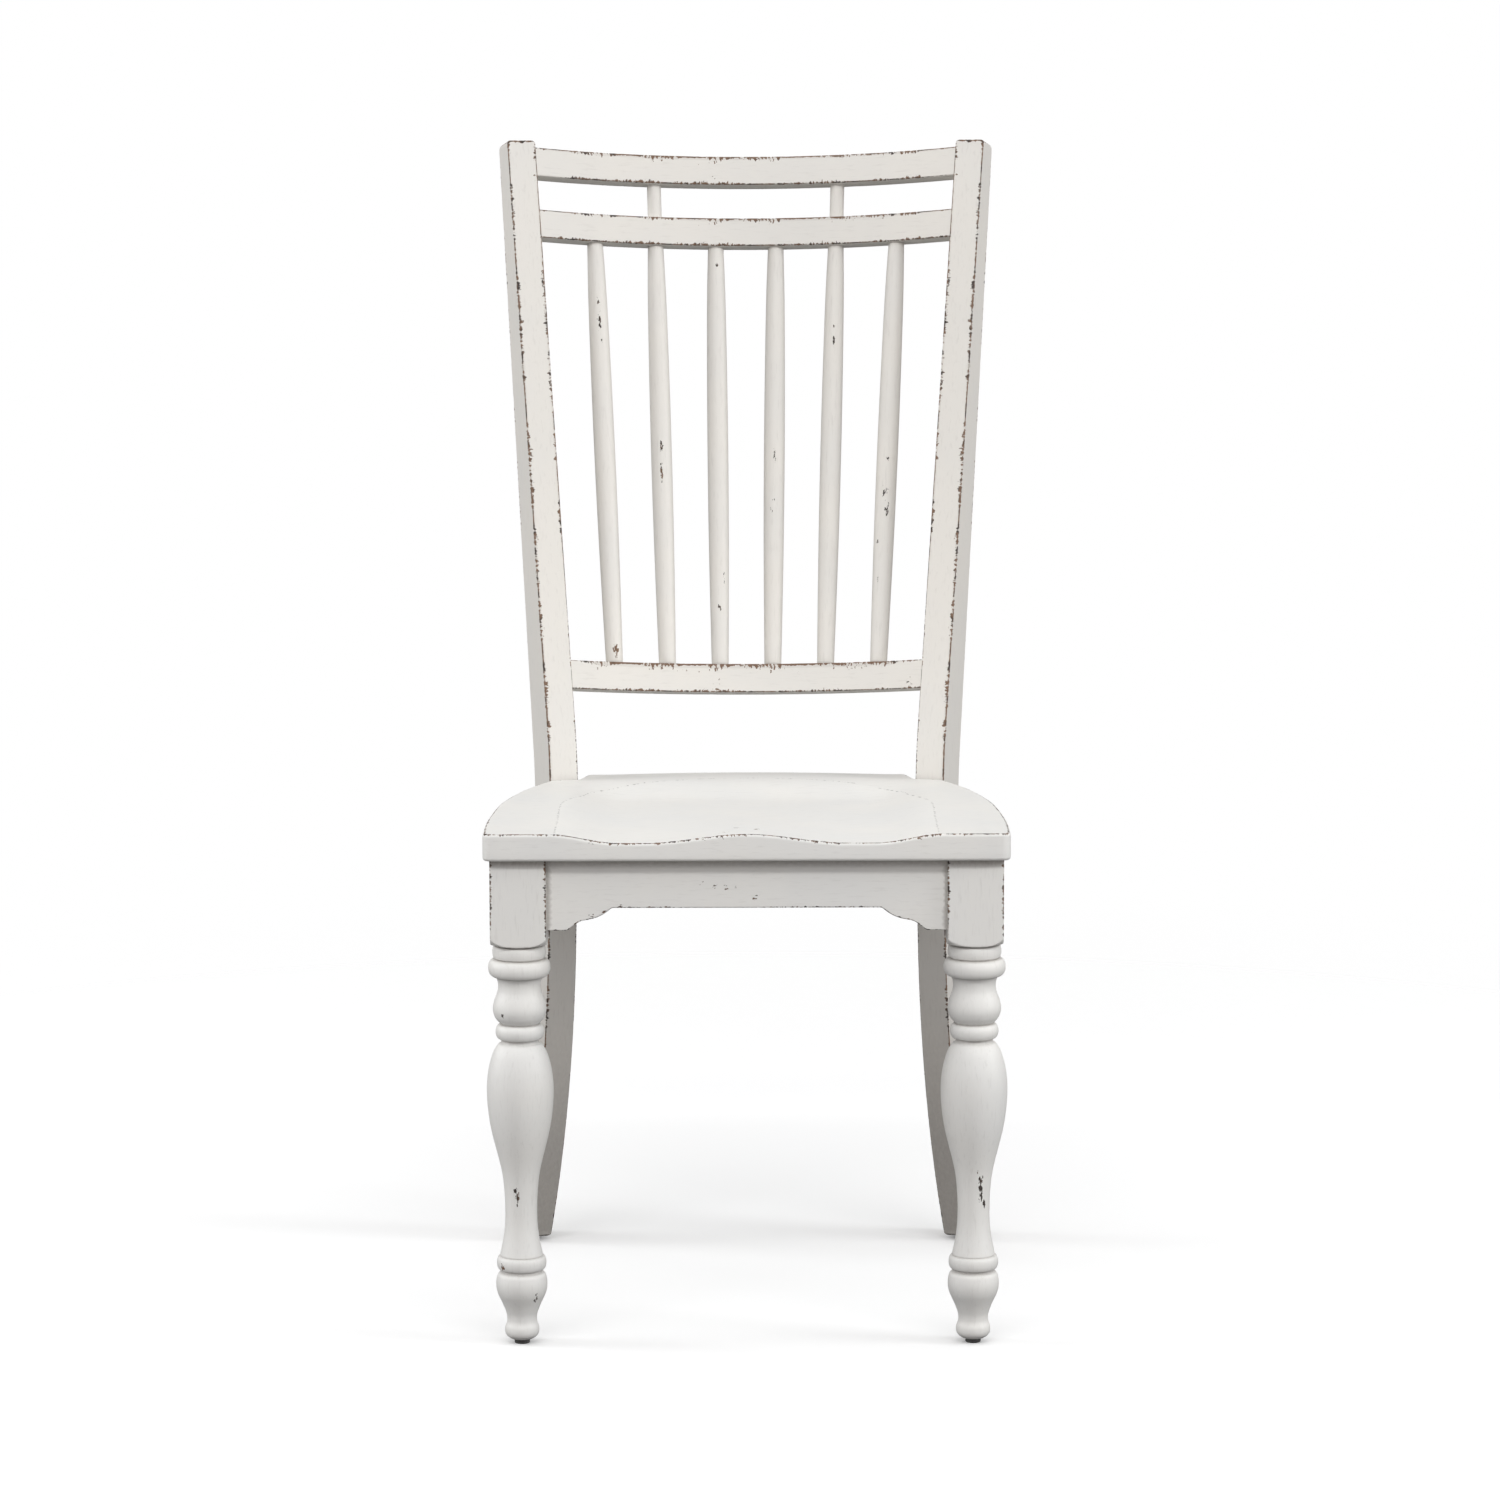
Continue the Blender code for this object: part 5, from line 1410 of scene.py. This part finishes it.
def make_camera():
    """Stands where the photograph was taken: a little above the seat, nearly in front, with a long lens."""
    data = bpy.data.cameras.new("camera")
    data.sensor_width = 36.0
    data.lens = CAMERA_LENS
    data.clip_end = 100.0
    camera = linked("camera", data)
    turn = Matrix.Rotation(math.pi / 2 - CAMERA_PITCH, 4, "X") @ Matrix.Rotation(-CAMERA_ROLL, 4, "Z")
    place = Vector(CAMERA_PLACE) + Vector((0.0, front_edge_y(), 0.0))
    camera.matrix_world = Matrix.Translation(place) @ turn
    bpy.context.scene.camera = camera


class CHAIR_OT_studio(Operator):
    """Set the floor, the light and the camera"""

    bl_idname = "chair.studio"
    bl_label = "Studio"

    def execute(self, context):
        studio = context.scene.chair_studio
        context.scene.view_settings.view_transform = "Standard"
        make_camera()
        make_floor()
        make_sky()
        make_lamp("front_lamp", *FRONT_LAMP, studio.key)
        for label, place in SIDE_LAMPS.items():
            make_lamp(f"side_lamp_{label}", place, SIDE_LAMP_SIZE, studio.side, SIDE_LAMP_TINT)
        return {"FINISHED"}


class CHAIR_OT_seat(Operator):
    """Make the scooped seat with its eased edges"""

    bl_idname = "chair.seat"
    bl_label = "Seat"

    def execute(self, context):
        make_seat(seat_paint())
        return {"FINISHED"}


class CHAIR_OT_posts(Operator):
    """Make the two sawn back posts"""

    bl_idname = "chair.posts"
    bl_label = "Back posts"

    def execute(self, context):
        for side, label in SIDES:
            make_post(side, label, frame_paint())
        return {"FINISHED"}


class CHAIR_OT_rails(Operator):
    """Make the crest rail, the neck rail and the lower rail"""

    bl_idname = "chair.rails"
    bl_label = "Rails"

    def execute(self, context):
        for name in RAILS:
            make_rail(name, frame_paint())
        return {"FINISHED"}


class CHAIR_OT_spindles(Operator):
    """Make the six swelled spindles"""

    bl_idname = "chair.spindles"
    bl_label = "Spindles"

    def execute(self, context):
        lower, neck, crest = Rail("lower_back_rail"), Rail("neck_rail"), Rail("crest_rail")
        for index in range(1, SPINDLES + 1):
            make_spindle(index, lower, neck, crest, frame_paint())
        return {"FINISHED"}


class CHAIR_OT_legs(Operator):
    """Make the two turned front legs with their square blocks"""

    bl_idname = "chair.legs"
    bl_label = "Front legs"

    def execute(self, context):
        for side, label in SIDES:
            make_front_leg(side, label, LEG_CHIPS[label], seat_paint())
        return {"FINISHED"}


class CHAIR_OT_aprons(Operator):
    """Make the scalloped front apron and the three plain ones"""

    bl_idname = "chair.aprons"
    bl_label = "Aprons"

    def execute(self, context):
        paint = seat_paint()
        make_front_apron(paint)
        x, y = LEG_CENTRE
        under = sizes().seat_thickness
        for side, label in SIDES:
            end = post_point(side, sizes().post_thickness / 2, 0.0, -2 * under)
            start = Vector((side * x, y + sizes().leg_block / 2 - MM))
            past = (end.xy - start).normalized() * 2 * MM
            make_straight_apron(f"apron_{label}", start, end.xy + past, paint)
        low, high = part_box("apron_rear")
        middle = (low.y + high.y) / 2 - front_edge_y()
        half = post_point(1, sizes().post_thickness, APRON_REAR_DEPTH, -under).x + 2 * MM
        make_straight_apron("apron_rear", (-half, middle), (half, middle), paint)
        return {"FINISHED"}


class CHAIR_OT_glides(Operator):
    """Make the glides under the feet"""

    bl_idname = "chair.glides"
    bl_label = "Glides"

    def execute(self, context):
        grey = made_once("grey_moulded_plastic", moulded_plastic, finish().glide)
        for end in ("front", "rear"):
            for side, label in SIDES:
                make_glide(f"glide_{end}_{label}", grey)
        return {"FINISHED"}


class CHAIR_OT_fixings(Operator):
    """Finish the corner blocks and the screws"""

    bl_idname = "chair.fixings"
    bl_label = "Blocks and screws"

    def execute(self, context):
        for name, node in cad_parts.items():
            if name.startswith("corner_block"):
                node.data.materials.clear()
                node.data.materials.append(made_once("bare_sawn_wood", bare_wood, finish().bare))
                bevel = node.modifiers.new("eased_edges", "BEVEL")
                bevel.width = BLOCK_BEVEL
                bevel.segments = 2
                bevel.limit_method = "ANGLE"
            elif "screw" in name:
                node.data.materials.clear()
                node.data.materials.append(made_once("plain_screw_steel", screw_steel, finish().steel))
        return {"FINISHED"}


class CHAIR_PT_panel(Panel):
    bl_label = "Spindle Back Chair"
    bl_idname = "CHAIR_PT_panel"
    bl_space_type = "VIEW_3D"
    bl_region_type = "UI"
    bl_category = "Chair"

    def draw(self, context):
        layout = self.layout
        for operator in OPERATORS:
            layout.operator(operator.bl_idname)
        for group in (context.scene.chair_sizes, context.scene.chair_finish, context.scene.chair_studio):
            box = layout.box()
            for name in type(group).__annotations__:
                box.prop(group, name)


OPERATORS = (
    CHAIR_OT_studio, CHAIR_OT_seat, CHAIR_OT_posts, CHAIR_OT_rails, CHAIR_OT_spindles, CHAIR_OT_legs,
    CHAIR_OT_aprons, CHAIR_OT_glides, CHAIR_OT_fixings,
)
GROUPS = (("chair_sizes", ChairSizes), ("chair_finish", ChairFinish), ("chair_studio", ChairStudio))


def register():
    for name, group in GROUPS:
        bpy.utils.register_class(group)
        setattr(bpy.types.Scene, name, PointerProperty(type=group))
    for operator in OPERATORS:
        bpy.utils.register_class(operator)
    bpy.utils.register_class(CHAIR_PT_panel)


def unregister():
    bpy.utils.unregister_class(CHAIR_PT_panel)
    for operator in reversed(OPERATORS):
        bpy.utils.unregister_class(operator)
    for name, group in reversed(GROUPS):
        delattr(bpy.types.Scene, name)
        bpy.utils.unregister_class(group)


def main():
    register()
    bpy.ops.chair.studio()
    bpy.ops.chair.seat()
    bpy.ops.chair.posts()
    bpy.ops.chair.rails()
    bpy.ops.chair.spindles()
    bpy.ops.chair.legs()
    bpy.ops.chair.aprons()
    bpy.ops.chair.glides()
    bpy.ops.chair.fixings()
    boxes = {"cad": cad_bounds, "visual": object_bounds()}
    {name: [list(corner) for corner in box] for name, box in boxes.items()}


if __name__ == "__main__":
    main()
